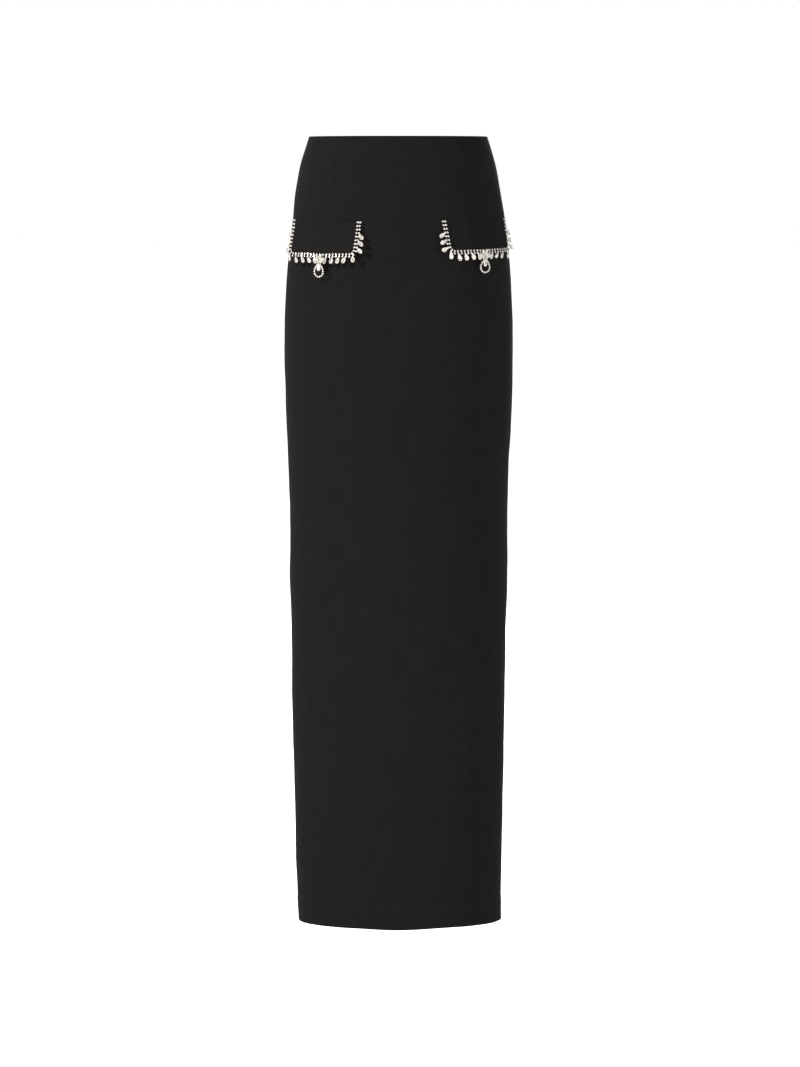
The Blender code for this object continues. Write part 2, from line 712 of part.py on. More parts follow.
def ring_mesh(name, place):
    """The ring's tube: a closed curve with a bevel, made a mesh."""
    curve = bpy.data.curves.new(name, "CURVE")
    curve.dimensions = "3D"
    curve.bevel_depth = RING_TUBE
    curve.bevel_resolution = 1
    spline = curve.splines.new("POLY")
    spline.points.add(RING_POINTS - 1)
    spline.use_cyclic_u = True
    for point, (across, down) in zip(spline.points, ring_path()):
        spot = place.origin + across * place.across + (HINGE_DOWN + RING_TOP + down) * place.down
        point.co = (*(spot + HINGE_OUT * place.out), 1.0)
    holder = bpy.data.objects.new(name, curve)
    joined_shapes.objects.link(holder)
    evaluated = holder.evaluated_get(bpy.context.evaluated_depsgraph_get())
    mesh = bpy.data.meshes.new_from_object(evaluated)
    bpy.data.objects.remove(holder)
    shape = bmesh.new()
    shape.from_mesh(mesh)
    bmesh.ops.remove_doubles(shape, verts=shape.verts, dist=0.01 * MM)
    bpy.data.meshes.remove(mesh)
    return finish_bmesh(shape, name)


def bail_mesh(name, place):
    """The little ring that hangs on the cluster's bar, upright and edge-on from the front."""
    shape = bmesh.new()
    circle = bmesh.ops.create_circle(shape, segments=6, radius=BAIL_WIRE)
    for vert in circle["verts"]:
        x, y, _ = vert.co
        vert.co = (x, 0.0, y + BAIL_RADIUS)
    bmesh.ops.spin(
        shape,
        geom=shape.verts[:] + shape.edges[:],
        cent=(0, 0, 0),
        axis=(1, 0, 0),
        angle=2 * math.pi,
        steps=12,
        use_merge=True,
    )
    for vert in shape.verts:
        x, y, z = vert.co
        local = place.origin + x * place.across + (HINGE_DOWN + z) * place.down
        vert.co = local + (HINGE_OUT + y) * place.out
    return finish_bmesh(shape, name)


def centre_on(made, spot):
    """Moves an object's origin to a point without moving its mesh, nor its joined shapes."""
    made.data.transform(Matrix.Translation(-Vector(spot)))
    made.location = spot


def make_pendant(surface, place):
    name = f"pendant_{surface.flap.name}"
    pendant = add_object(name, ring_mesh(name, place), silver)
    outline = pear_outline(INNER_PEAR_LENGTH, INNER_PEAR_WIDTH, DROP_SIDES)
    half = INNER_PEAR_DEPTH / 2
    shift = (0.0, HINGE_DOWN + RING_TOP + INNER_PEAR_TOP)
    pear = prism_mesh(f"{name}_pear", outline, HINGE_OUT - half, HINGE_OUT + half, place, shift=shift)
    join_to(pendant, [pear, bail_mesh(f"{name}_bail", place)])
    axis_point = place.origin + HINGE_DOWN * place.down + HINGE_OUT * place.out
    centre_on(pendant, axis_point)


for flap in FLAPS:
    flap_surface = FlapSurface(flap)
    make_flap(flap_surface)
    make_trim(flap_surface)
    hang_place = cluster_place(flap_surface)
    make_cluster(flap_surface, hang_place)
    make_pendant(flap_surface, hang_place)


# ---- The zip ----

zip_metal = make_material("zip_black", (0.02, 0.02, 0.02), 0.45, 0.3)
tape_cloth = make_material("zip_tape", (0.012, 0.012, 0.012), 0.8, 0.0)


def back_place(drop):
    """A place on the outer face at the centre back: across is +X, down follows the cloth."""
    origin = skin(math.pi, drop)
    out = outward(math.pi, drop)
    across = np.array([1.0, 0.0, 0.0])
    return Place(origin, across, unit(np.cross(out, across)), out)


def inside_at(edge, drops):
    """Points down one column of a back panel's inner face, read between its rows."""
    return np.stack([np.interp(drops, PANEL_DROPS, edge[:, k]) for k in range(3)], axis=-1)


def tape_edges(inside, seam_column, next_column, drops):
    """The tape's points on one back panel: at the seam and out at the tape's edge."""
    seam = inside_at(inside[:, seam_column], drops)
    away = unit(inside_at(inside[:, next_column], drops) - seam)
    return seam, seam + away * TAPE_HALF_WIDTH


def make_tape():
    first, last = TAPE_TOP + TAPE_ROW_CLEAR, TAPE_BOTTOM - TAPE_ROW_CLEAR
    between_rows = PANEL_DROPS[(PANEL_DROPS > first) & (PANEL_DROPS < last)]
    drops = np.concatenate([[TAPE_TOP], between_rows, [TAPE_BOTTOM]])
    left_seam, left_edge = tape_edges(left_inside, -1, -2, drops)
    right_seam, right_edge = tape_edges(right_inside, 0, 1, drops)
    lying = np.stack([left_edge, left_seam, right_seam, right_edge], axis=1)
    inward = -outward(math.pi, drops)[:, None, :]
    outside = lying + inward * SEAM_GAP
    mesh = wall_mesh("zip_tape", outside, lying + inward * (SEAM_GAP + TAPE_WALL))
    tape = add_object("zip_tape", mesh, tape_cloth)
    height = 2 * (SLIDER_DROP + NECK_HEIGHT - TAPE_TOP)
    slot_size = (2 * ZIP_MOUTH_HALF_GAP, height, TAPE_SLOT_DEPTH)
    slot = box_mesh("zip_tape_slot", back_place(TAPE_TOP), slot_size, (0.0, 0.0, 0.0))
    combine(tape, slot, "DIFFERENCE")


def make_slider(place):
    """The body inside the tape, its neck through the seam, and the bridge that holds the pull."""
    body_out = -(WALL + 2 * SEAM_GAP + TAPE_WALL + SLIDER_PLAY)
    size = (SLIDER_WIDTH, SLIDER_HEIGHT, SLIDER_DEPTH)
    body = box_mesh("zip_slider", place, size, (0.0, 0.0, body_out - SLIDER_DEPTH / 2))
    slider = add_object("zip_slider", body, zip_metal)
    neck_from = body_out - SLIDER_DEPTH / 2
    neck_depth = BRIDGE_OUT - neck_from
    neck_size = (NECK_WIDTH, NECK_HEIGHT, neck_depth)
    join_to(slider, [box_mesh("slider_neck", place, neck_size, (0.0, 0.0, neck_from + neck_depth / 2))])
    window_size = (2 * SLIDER_WIDTH, WINDOW_HEIGHT, WINDOW_DEPTH)
    window = box_mesh("slider_window", place, window_size, (0.0, 0.0, PULL_OUT - WINDOW_SHIFT))
    combine(slider, window, "DIFFERENCE")


def make_pull(place):
    """The pull tab: a bar through the bridge, two arms and a pear-shaped tab."""
    bar = rod_mesh(
        "zip_pull", place, PULL_BAR_RADIUS, PULL_ARM_SPREAD + PULL_ARM_WIDTH / 4, 0.0, PULL_OUT
    )
    pull = add_object("zip_pull", bar, zip_metal)
    arm_size = (PULL_ARM_WIDTH, PULL_TAB_TOP + 2 * PULL_BAR_RADIUS, PULL_THICKNESS + PULL_ARM_EXTRA)
    arm_down = arm_size[1] / 2 - PULL_BAR_RADIUS
    pieces = [
        box_mesh("pull_arm", place, arm_size, (side * PULL_ARM_SPREAD, arm_down, PULL_OUT))
        for side in (-1, 1)
    ]
    turns = np.linspace(0, math.pi, 7)
    end_radius = PULL_TAB_END * PULL_TAB_WIDTH / 2
    rounded = np.stack([end_radius * np.cos(turns), end_radius * np.sin(turns)], axis=-1)
    rounded += np.array([0.0, PULL_TAB_LENGTH - end_radius])
    top = np.array([[-PULL_TAB_WIDTH / 2, 0.0], [PULL_TAB_WIDTH / 2, 0.0]])
    outline = np.concatenate([top, rounded])
    half = PULL_THICKNESS / 2
    pieces.append(
        prism_mesh(
            "pull_tab",
            outline,
            PULL_OUT - half,
            PULL_OUT + half,
            place,
            shift=(0.0, PULL_TAB_TOP),
            face_share=0.94,
        )
    )
    join_to(pull, pieces)
    centre_on(pull, place.origin + PULL_OUT * place.out)


make_tape()
slider_place = back_place(SLIDER_DROP)
make_slider(slider_place)
make_pull(slider_place)
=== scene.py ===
import math

import bmesh
import bpy
import numpy as np
from mathutils import Matrix, Vector


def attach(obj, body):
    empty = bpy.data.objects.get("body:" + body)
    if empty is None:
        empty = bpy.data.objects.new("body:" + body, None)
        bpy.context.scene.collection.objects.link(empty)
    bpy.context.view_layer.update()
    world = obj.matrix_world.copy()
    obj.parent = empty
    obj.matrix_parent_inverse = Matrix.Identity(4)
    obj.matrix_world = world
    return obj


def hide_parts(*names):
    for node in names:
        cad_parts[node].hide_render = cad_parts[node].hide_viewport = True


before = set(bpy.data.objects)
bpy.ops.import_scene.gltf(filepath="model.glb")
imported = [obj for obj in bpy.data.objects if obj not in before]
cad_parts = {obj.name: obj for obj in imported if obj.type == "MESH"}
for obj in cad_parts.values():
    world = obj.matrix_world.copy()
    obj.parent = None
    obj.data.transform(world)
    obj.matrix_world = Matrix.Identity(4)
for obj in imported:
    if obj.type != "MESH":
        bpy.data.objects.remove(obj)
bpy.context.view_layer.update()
mm = 0.001
print("frame:", len(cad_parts), "nodes")

# The skirt's cloth. A place on it is an angle round it, 0 at the centre front and 90
# degrees at the wearer's left side, and a drop below the top edge.
skirt = {
    "topZ": 20 * mm,
    "length": 1098 * mm,
    "wall": 1.3 * mm,
    "edgeRound": 0.65 * mm,
    "seamGap": 0.3 * mm,
    "sewnLap": 0.02 * mm,  # of two panels' edges at a sewn seam, so that no light comes through
    "sideSeam": 94.0,  # degrees, just behind the side
    "frontPower": 2.3,
    "backPower": 2.15,
    "hemDip": (2.6 * mm, -3.0, 28.0),  # depth, and angle and spread in degrees
    "hemDipFrom": 800 * mm,
    "slitTop": 700 * mm,
    "slitHalfGap": 2.0 * mm,
    "slitPower": 1.5,
    "mouth": (0.78 * mm, 7.8 * mm, 15.2 * mm),  # where the zip's slider passes: half gap, top, end
    "mapRadius": 0.142,  # metres of the cloth map for each radian round the skirt
    # drop, half width, depth in front, depth behind and sideways sway, in millimetres
    "levels": (
        (0, 123.8, 91.0, 90.0, -0.8),
        (12, 127.6, 93.0, 92.5, -0.8),
        (36, 134.7, 97.0, 98.0, -1.2),
        (74, 142.0, 100.5, 108.0, -0.9),
        (130, 149.4, 104.5, 121.0, 0.4),
        (185, 155.6, 107.5, 129.5, -0.2),
        (241, 158.6, 110.0, 131.5, -0.2),
        (297, 159.3, 111.0, 129.0, 0.0),
        (381, 157.5, 109.5, 121.0, 0.0),
        (465, 154.0, 106.5, 113.5, -0.3),
        (549, 151.9, 103.5, 108.5, 0.1),
        (605, 152.3, 102.5, 106.5, -0.3),
        (661, 150.9, 101.0, 104.5, 0.0),
        (774, 149.4, 98.5, 101.5, -0.6),
        (887, 147.0, 96.5, 98.5, 0.0),
        (1000, 145.0, 94.5, 96.0, 0.0),
        (1098, 142.3, 93.0, 94.0, 1.4),
    ),
    # upright troughs (a negative depth is a ridge): angle, top, bottom, lean in degrees,
    # half width in degrees, depth in millimetres
    "folds": (
        (61, 168, 470, 0, 6.0, 2.4),
        (73, 175, 440, -1, 5.0, -1.2),
        (-66, 190, 420, 3, 8.0, 0.9),
        (128, 250, 560, -4, 8.0, 2.0),
        (-140, 230, 500, 5, 9.0, 2.2),
        (165, 330, 620, 4, 8.0, 1.2),
        (-112, 300, 700, -3, 9.0, 1.4),
    ),
}

# Finer creases, laid on the outer face: angle, drop, half length, slope in degrees
# from level, half width, and depth in millimetres, where a negative depth is a ridge
frontCreases = (
    (57, 47, 26, 2, 3.0, -0.6),
    (55, 286, 66, 88, 4.5, -0.6),
    (59.5, 268, 105, 90, 9.0, 1.3),
    (68, 300, 90, 90, 5.0, -0.6),
    (38, 760, 150, 97, 30.0, 2.2),
    (54, 700, 150, 92, 16.0, -1.2),
    (-58, 640, 190, 90, 20.0, -1.5),
    (-40, 560, 170, 88, 24.0, 1.3),
    (50, 96, 52, 84, 12.0, 0.6),
    (66, 88, 30, 82, 5.0, 0.35),
    (40, 96, 22, -60, 6.0, 0.3),
    (53, 196, 30, 70, 7.0, -0.5),
    (44, 188, 26, 110, 8.0, 0.5),
    (30, 232, 40, -38, 11.0, 0.45),
    (12, 262, 34, 8, 9.0, -0.4),
    (-8, 214, 46, 80, 12.0, 0.35),
    (-30, 268, 52, 64, 13.0, 0.5),
    (-52, 236, 40, 100, 9.0, 0.55),
    (-60, 330, 62, 84, 10.0, -0.5),
    (-41, 60, 24, 76, 7.0, 0.3),
    (-62, 40, 26, -14, 6.0, 0.3),
    (4, 92, 36, 74, 12.0, 0.35),
    (22, 346, 58, 62, 14.0, 0.55),
    (-16, 392, 64, -72, 15.0, 0.5),
    (44, 436, 60, 76, 12.0, 0.6),
    (70, 520, 58, 84, 9.0, 0.7),
    (62, 590, 70, 96, 11.0, -0.5),
    (-70, 468, 54, -82, 11.0, 0.7),
    (-34, 556, 48, 14, 15.0, -0.4),
    (10, 540, 58, 4, 17.0, -0.45),
    (36, 612, 66, -66, 14.0, 0.5),
    (-50, 668, 74, 80, 13.0, 0.5),
    (-6, 700, 80, 68, 16.0, 0.45),
    (58, 742, 76, 88, 12.0, 0.8),
    (26, 824, 80, 74, 15.0, 0.5),
    (-28, 848, 86, -80, 15.0, 0.5),
    (-72, 812, 70, 86, 11.0, 0.6),
    (66, 918, 60, 80, 11.0, 0.7),
    (48, 1010, 46, 84, 12.0, 0.6),
    (8, 968, 54, 78, 15.0, 0.35),
    (-44, 1002, 50, 96, 13.0, 0.45),
)
backCreases = (
    (112, 64, 26, 10, 6.0, 0.35),
    (-118, 72, 30, -8, 7.0, 0.35),
    (171, 148, 40, 74, 8.0, 0.4),
    (-168, 190, 48, -70, 9.0, 0.5),
    (150, 176, 36, 60, 10.0, 0.5),
    (-150, 158, 34, -58, 9.0, 0.45),
    (138, 402, 52, 24, 12.0, 0.9),
    (-134, 388, 50, -22, 12.0, 0.8),
    (158, 452, 46, -18, 13.0, 0.9),
    (-160, 470, 48, 16, 12.0, 0.8),
    (120, 470, 54, 78, 11.0, 0.7),
    (-122, 540, 60, -80, 12.0, 0.7),
    (146, 560, 40, 8, 14.0, -0.6),
    (-148, 604, 44, -6, 14.0, -0.6),
    (168, 640, 60, 76, 12.0, 0.7),
    (-166, 700, 64, -78, 12.0, 0.8),
    (132, 760, 76, 84, 13.0, 0.7),
    (-136, 812, 80, -84, 13.0, 0.7),
    (170, 880, 62, 86, 9.0, -0.9),
    (-172, 930, 66, -86, 9.0, -0.8),
    (112, 930, 60, 82, 12.0, 0.6),
    (-110, 980, 58, -82, 12.0, 0.6),
)

# Slow unevenness of hanging cloth: waves round the skirt, wave length down it in
# millimetres, start, depth in millimetres
clothWaves = (
    (15, 190, 0.4, 0.16),
    (-20, 120, 2.1, 0.12),
    (11, -76, 4.0, 0.14),
    (-28, 58, 1.2, 0.07),
    (32, 41, 5.2, 0.06),
    (8, 260, 3.1, 0.2),
)

# Pressed seams: dart lines with their angles at the top and at the lower end, in degrees
darts = {
    "front": ((49.3, 47.0, 113 * mm), (-49.3, -47.0, 113 * mm)),
    "back": ((141.0, 143.0, 135 * mm), (-141.0, -143.0, 135 * mm)),
}
seamLook = {
    "dartWidth": 0.75 * mm,
    "dartDepth": 0.75 * mm,
    "dartSwell": 0.16 * mm,  # the pressed seam turnings beside it
    "swellWidth": 4.5 * mm,
    "sideTuck": 0.8 * mm,
    "sideWidth": 1.4 * mm,
    "flapSeamDepth": 0.8 * mm,
    "flapSeamWidth": 0.8 * mm,
    "flapSeamAbove": 0.4 * mm,  # the groove, above the flap's top edge
    "flapSeamDrop": 114.2 * mm,  # about which the panel's rows are closer
    "hemHeight": 36 * mm,
    "hemSwell": 0.35 * mm,
    "hemDent": 0.22 * mm,
    "creaseStart": 12 * mm,  # creases fade out this far from a seam
    "warpReach": 13.0,  # degrees
}


def smoothColumn(table, column):
    at, value = (np.array([row[k] for row in table], float) for k in (0, column))
    slope = np.gradient(value, at)

    def read(x):
        i = np.clip(np.searchsorted(at, x, side="right") - 1, 0, len(at) - 2)
        step = at[i + 1] - at[i]
        t = (x - at[i]) / step
        level = value[i] * (1 + 2 * t) * (1 - t) ** 2 + value[i + 1] * t**2 * (3 - 2 * t)
        return level + step * (slope[i] * t * (1 - t) ** 2 - slope[i + 1] * t**2 * (1 - t))

    return read


halfWidth, frontDepth, backDepth, sway = (smoothColumn(skirt["levels"], k) for k in (1, 2, 3, 4))


def ease(x):
    x = np.clip(x, 0, 1)
    return x * x * (3 - 2 * x)


def bell(x):
    return np.exp(-(x**2))


def unit(vectors):
    return vectors / np.linalg.norm(vectors, axis=-1, keepdims=True)


def between(start, end, share):
    return start + (end - start) * share


def pairs(first, second):
    return np.stack([first, second], axis=-1)


def runAlong(points):
    # the length up to each point of a line
    steps = np.linalg.norm(np.diff(points, axis=0), axis=1)
    return np.concatenate([[0.0], np.cumsum(steps)])


def degreesFrom(angle, at):
    return (np.degrees(angle) - at + 180) % 360 - 180


def foldDepth(angle, drop):
    total = 0.0
    for at, top, bottom, lean, width, depth in skirt["folds"]:
        run = np.clip((drop / mm - top) / (bottom - top), 0, 1)
        across = degreesFrom(angle, at + lean * run)
        total = total + depth * mm * np.sin(math.pi * run) ** 2 * bell(across / width)
    return total


def skirtFace(angle, drop):
    angle, drop = np.broadcast_arrays(np.asarray(angle, float), np.asarray(drop, float))
    level = drop / mm
    toFront = np.cos(angle) > 0
    depth = np.where(toFront, frontDepth(level), backDepth(level)) * mm
    power = np.where(toFront, skirt["frontPower"], skirt["backPower"])
    width = halfWidth(level) * mm
    reach = (np.abs(np.sin(angle)) / width) ** power + (np.abs(np.cos(angle)) / depth) ** power
    reach = reach ** (-1 / power) - foldDepth(angle, drop)
    x = reach * np.sin(angle) + sway(level) * mm
    return np.stack([x, -reach * np.cos(angle), skirt["topZ"] - drop], axis=-1)


def skirtNormal(angle, drop):
    turn, step = 0.002, 0.5 * mm
    along = skirtFace(np.asarray(angle) + turn, drop) - skirtFace(np.asarray(angle) - turn, drop)
    down = skirtFace(angle, np.asarray(drop) + step) - skirtFace(angle, np.asarray(drop) - step)
    return unit(np.cross(down, along))


def offSkirt(angle, drop, away):
    # a place this far off the skirt's outer face
    return skirtFace(angle, drop) + skirtNormal(angle, drop) * away[..., None]


def sideRadius(drop):
    return halfWidth(drop / mm) * mm


def backRadius(drop):
    return backDepth(drop / mm) * mm


def hipRadius(drop):
    return (halfWidth(drop / mm) + frontDepth(drop / mm)) / 2 * mm


def creaseDepth(creases, angle, drop):
    total = 0.0
    for at, level, length, slope, width, depth in creases:
        x = np.radians(degreesFrom(angle, at)) * hipRadius(drop)
        y = drop - level * mm
        turn = math.radians(slope)
        along = (x * math.cos(turn) + y * math.sin(turn)) / (length * mm)
        aside = (y * math.cos(turn) - x * math.sin(turn)) / (width * mm)
        total = total + depth * mm * np.exp(-(along**2) - aside**2)
    return total


def waveDepth(angle, drop):
    total = 0.0
    for count, down, start, depth in clothWaves:
        total = total + depth * mm * np.sin(count * angle + 2 * math.pi * drop / (down * mm) + start)
    return total * ease((drop - 4 * mm) / (50 * mm))


# Sheets of cloth as closed walls


def stopsBetween(start, end, step, dense=()):
    # even stops, closer together about each (middle, reach, spacing)
    marks = np.linspace(start, end, round((end - start) / step) + 1)
    for middle, reach, spacing in dense:
        marks = marks[np.abs(marks - middle) > reach + 0.6 * spacing]
        marks = np.concatenate([marks, np.arange(middle - reach, middle + reach + spacing / 2, spacing)])
    marks = marks[(marks > start) & (marks < end)]
    return np.sort(np.concatenate([[start], marks, [end]]))


def asMesh(shape, name):
    shape.normal_update()
    bmesh.ops.recalc_face_normals(shape, faces=shape.faces)
    mesh = bpy.data.meshes.new(name)
    shape.to_mesh(mesh)
    shape.free()
    return mesh


def addObject(name, data):
    made = bpy.data.objects.new(name, data)
    bpy.context.scene.collection.objects.link(made)
    return made


def newObject(name, mesh, *materials):
    for material in materials:
        mesh.materials.append(material)
    return addObject(name, mesh)


def standFor(piece, body, node):
    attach(piece, body)
    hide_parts(node)


def clothWall(name, acrossStops, downStops, place, material):
    # place(across, down, side) gives points and the two lengths of the cloth map, where
    # side is 1 on the outer face and 0 on the inner
    shape = bmesh.new()
    clothMap = shape.loops.layers.uv.new("clothMap")
    columns, rows = len(acrossStops) - 1, len(downStops) - 1
    bmesh.ops.create_grid(shape, x_segments=columns, y_segments=rows, size=0.5)
    raised = bmesh.ops.extrude_face_region(shape, geom=shape.faces[:])
    for part in raised["geom"]:
        if isinstance(part, bmesh.types.BMVert):
            part.co.z = 1.0
    flat = np.array([vert.co for vert in shape.verts])
    across = acrossStops[np.rint((flat[:, 0] + 0.5) * columns).astype(int)]
    down = downStops[np.rint((0.5 - flat[:, 1]) * rows).astype(int)]
    spots, lengths = place(across, down, flat[:, 2])
    for vert, spot in zip(shape.verts, spots):
        vert.co = spot
    for face in shape.faces:
        for loop in face.loops:
            loop[clothMap].uv = lengths[loop.vert.index]
    mesh = asMesh(shape, name)
    mesh.shade_smooth()
    return newObject(name, mesh, material)


def wallShare(edge, reach):
    # how much of its thickness a wall has this far from its rounded edge
    t = np.clip(edge / reach, 0, 1)
    return np.clip(np.sqrt(1 - (1 - t) ** 2), 0.12, 1)


# Materials


def newMaterial(name, **values):
    material = bpy.data.materials.new(name)
    material.use_nodes = True
    shader = material.node_tree.nodes["Principled BSDF"]
    for key, value in values.items():
        shader.inputs[key].default_value = value
    return material, material.node_tree, shader


def addNode(tree, kind, inputs=(), **settings):
    node = tree.nodes.new("ShaderNode" + kind)
    for key, value in settings.items():
        setattr(node, key, value)
    for key, value in dict(inputs).items():
        if isinstance(value, bpy.types.NodeSocket):
            tree.links.new(value, node.inputs[key])
        else:
            node.inputs[key].default_value = value
    return node


def rampNode(tree, factor, *stops):
    node = addNode(tree, "ValToRGB", {"Fac": factor})
    ramp = node.color_ramp
    while len(ramp.elements) < len(stops):
        ramp.elements.new(0.5)
    for element, (at, colour) in zip(ramp.elements, stops):
        element.position = at
        element.color = (*colour, 1) if hasattr(colour, "__len__") else (colour, colour, colour, 1)
    return node.outputs["Color"]


def mathNode(tree, kind, a, b=0.0, c=0.0):
    return addNode(tree, "Math", {0: a, 1: b, 2: c}, operation=kind).outputs[0]


def noiseNode(tree, place, scale, detail, **more):
    inputs = {"Vector": place, "Scale": scale, "Detail": detail, **more}
    return addNode(tree, "TexNoise", inputs).outputs["Fac"]


def addBump(tree, shader, height, strength, distance):
    bump = addNode(tree, "Bump", {"Height": height, "Strength": strength, "Distance": distance})
    tree.links.new(bump.outputs["Normal"], shader.inputs["Normal"])


def addRoughness(tree, shader, factor, low, high):
    spread = addNode(tree, "MapRange", {"Value": factor, "To Min": low, "To Max": high})
    tree.links.new(spread.outputs["Result"], shader.inputs["Roughness"])


def clothMaterial(name, look):
    material, tree, shader = newMaterial(name, **look["shader"])
    flat = addNode(tree, "UVMap", uv_map="clothMap").outputs["UV"]
    # crepe: tightly twisted threads that pull the weave into fine pebbles
    pebbles = noiseNode(tree, flat, 1 / look["pebble"], 3.0, Roughness=0.6, Distortion=0.5)
    longThreads = addNode(tree, "Mapping", {"Vector": flat, "Scale": look["threadScale"]}).outputs["Vector"]
    cells = {"Vector": longThreads, "Scale": 1 / look["thread"], "Randomness": 0.7}
    threads = addNode(tree, "TexVoronoi", cells, feature="SMOOTH_F1").outputs["Distance"]
    height = mathNode(tree, "MULTIPLY_ADD", threads, look["threadShare"], pebbles)
    addBump(tree, shader, height, look["bump"], look["pebble"] * look["pebbleDepth"])
    # slow mottling, streaked along the length as the cloth hangs
    hanging = addNode(tree, "Mapping", {"Vector": flat, "Scale": look["mottleScale"]}).outputs["Vector"]
    mottle = noiseNode(tree, hanging, look["mottle"], 4.0, Roughness=0.55)
    # the colour is painted darker in the weave's hollows, a painted shade, and mixed with the slow mottling
    # of the cloth's random tone
    slow = mathNode(tree, "MULTIPLY", mottle, 1 - look["weaveShadeShare"])
    depth = mathNode(tree, "MULTIPLY_ADD", height, look["weaveShadeShare"], slow)
    colour = rampNode(tree, depth, (0.30, look["dark"]), (0.78, look["light"]))
    tree.links.new(colour, shader.inputs["Base Color"])
    addRoughness(tree, shader, mottle, look["rough"] - 0.05, look["rough"] + 0.06)
    return material


crepeLook = {
    "dark": (0.0062, 0.0057, 0.0054),
    "light": (0.0123, 0.0112, 0.0106),
    "rough": 0.86,
    "shader": {
        "IOR": 1.4,
        "Specular IOR Level": 0.16,
        "Sheen Weight": 0.03,
        "Sheen Roughness": 0.42,
        "Sheen Tint": (1.0, 0.97, 0.93, 1.0),
    },
    "pebble": 1.1 * mm,
    "pebbleDepth": 0.22,  # a share of its width
    "thread": 0.5 * mm,
    "threadScale": (1.0, 0.35, 1.0),
    "threadShare": 0.5,
    "mottle": 60.0,  # to a metre
    "mottleScale": (1.0, 0.45, 1.0),
    # the share of the colour that follows the weave's height: painted shade in its hollows
    "weaveShadeShare": 0.55,
    "bump": 0.45,
}
tapeLook = {
    **crepeLook,
    "dark": (0.006, 0.006, 0.0062),
    "light": (0.011, 0.011, 0.0115),
    "rough": 0.75,
    "pebble": 0.5 * mm,
    "thread": 0.35 * mm,
}
blackCrepe = clothMaterial("blackCrepe", crepeLook)
wovenTape = clothMaterial("wovenTape", tapeLook)


crystalLook = {
    "shader": {"Metallic": 0.1, "Roughness": 0.1, "IOR": 1.6, "Coat Weight": 0.6, "Coat Roughness": 0.03},
    "cells": 620.0,  # to a metre
    "facetShare": 0.7,
    # painted reflections: colours from a stone's darkest painted reflection to its brightest painted glint
    "paintedGlintColours": (
        (0.14, (0.10, 0.09, 0.075)),
        (0.29, (0.46, 0.42, 0.36)),
        (0.43, (0.88, 0.83, 0.745)),
        (0.62, (1.0, 0.97, 0.91)),
    ),
}


def crystalMaterial(name):
    # foil-backed glass drawn with painted reflections: each of its faces has a painted glint of its own,
    # kept in the mesh, that lightens or darkens its colour
    material, tree, shader = newMaterial(name, **crystalLook["shader"])
    paintedFacetGlint = addNode(tree, "Attribute", attribute_name="paintedFacetGlint").outputs["Fac"]
    place = addNode(tree, "TexCoord").outputs["Object"]
    # painted reflections of the back facets that show through the stone
    cells = addNode(tree, "TexVoronoi", {"Vector": place, "Scale": crystalLook["cells"]}).outputs["Color"]
    behind = addNode(tree, "SeparateColor", {"Color": cells}).outputs["Red"]
    behind = mathNode(tree, "MULTIPLY", behind, 1 - crystalLook["facetShare"])
    mixed = mathNode(tree, "MULTIPLY_ADD", paintedFacetGlint, crystalLook["facetShare"], behind)
    colour = rampNode(tree, mixed, *crystalLook["paintedGlintColours"])
    tree.links.new(colour, shader.inputs["Base Color"])
    return material


metalLook = {
    "grain": 1400.0,  # to a metre
    "wear": 160.0,
    "wornShade": 0.72,
    "roughSpread": (0.7, 1.4),
    "bump": 0.15,
    "bumpDepth": 0.08 * mm,
}


def metalMaterial(name, colour, rough, metallic):
    material, tree, shader = newMaterial(name, **{"Metallic": metallic, "IOR": 1.5})
    place = addNode(tree, "TexCoord").outputs["Object"]
    grain = noiseNode(tree, place, metalLook["grain"], 3.0, Roughness=0.6)
    wear = noiseNode(tree, place, metalLook["wear"], 2.0)
    dark = tuple(c * metalLook["wornShade"] for c in colour)
    tree.links.new(rampNode(tree, wear, (0.3, dark), (0.7, colour)), shader.inputs["Base Color"])
    low, high = metalLook["roughSpread"]
    addRoughness(tree, shader, grain, rough * low, rough * high)
    addBump(tree, shader, grain, metalLook["bump"], metalLook["bumpDepth"])
    return material


crystal = crystalMaterial("crystal")
silver = metalMaterial("silverCups", (0.80, 0.745, 0.66), 0.3, 0.8)
blackEnamel = metalMaterial("blackEnamel", (0.022, 0.022, 0.022), 0.38, 0.3)
print("materials made")


# The panels


def pressedSeam(distance):
    # a groove with its turnings pressed flat on both sides
    beside = np.abs(distance) / seamLook["swellWidth"]
    ridge = seamLook["dartSwell"] * bell((beside - 0.6) / 0.5)
    return ridge - seamLook["dartDepth"] * bell(distance / seamLook["dartWidth"])


def dartRelief(side, angle, drop):
    relief = 0.0
    for top, end, length in darts[side]:
        line = between(top, end, np.clip(drop / length, 0, 1))
        seam = pressedSeam(np.radians(np.degrees(angle) - line) * hipRadius(drop))
        relief = relief + seam * (1 - ease((drop - length + 3 * mm) / (6 * mm)))
    return relief


def hemRelief(drop):
    above = drop - (skirt["length"] - seamLook["hemHeight"])
    return seamLook["hemSwell"] * ease(above / (9 * mm)) - seamLook["hemDent"] * bell(above / (1.6 * mm))


def dartWarp(side, across, drop):
    # moves the columns beside a dart so that one of them always runs down its line
    shift = 0.0
    for top, end, length in darts[side]:
        bend = (end - top) * np.clip(drop / length, 0, 1)
        shift = shift + bend * bell((across - top) / seamLook["warpReach"])
    return shift


def wallPlace(angle, drop, side, edge, relief):
    half = skirt["wall"] / 2 * wallShare(edge, skirt["edgeRound"])
    return offSkirt(angle, drop, relief - skirt["wall"] / 2 + half * (2 * side - 1))


def sideTuck(edge):
    return -seamLook["sideTuck"] * bell(edge / seamLook["sideWidth"])


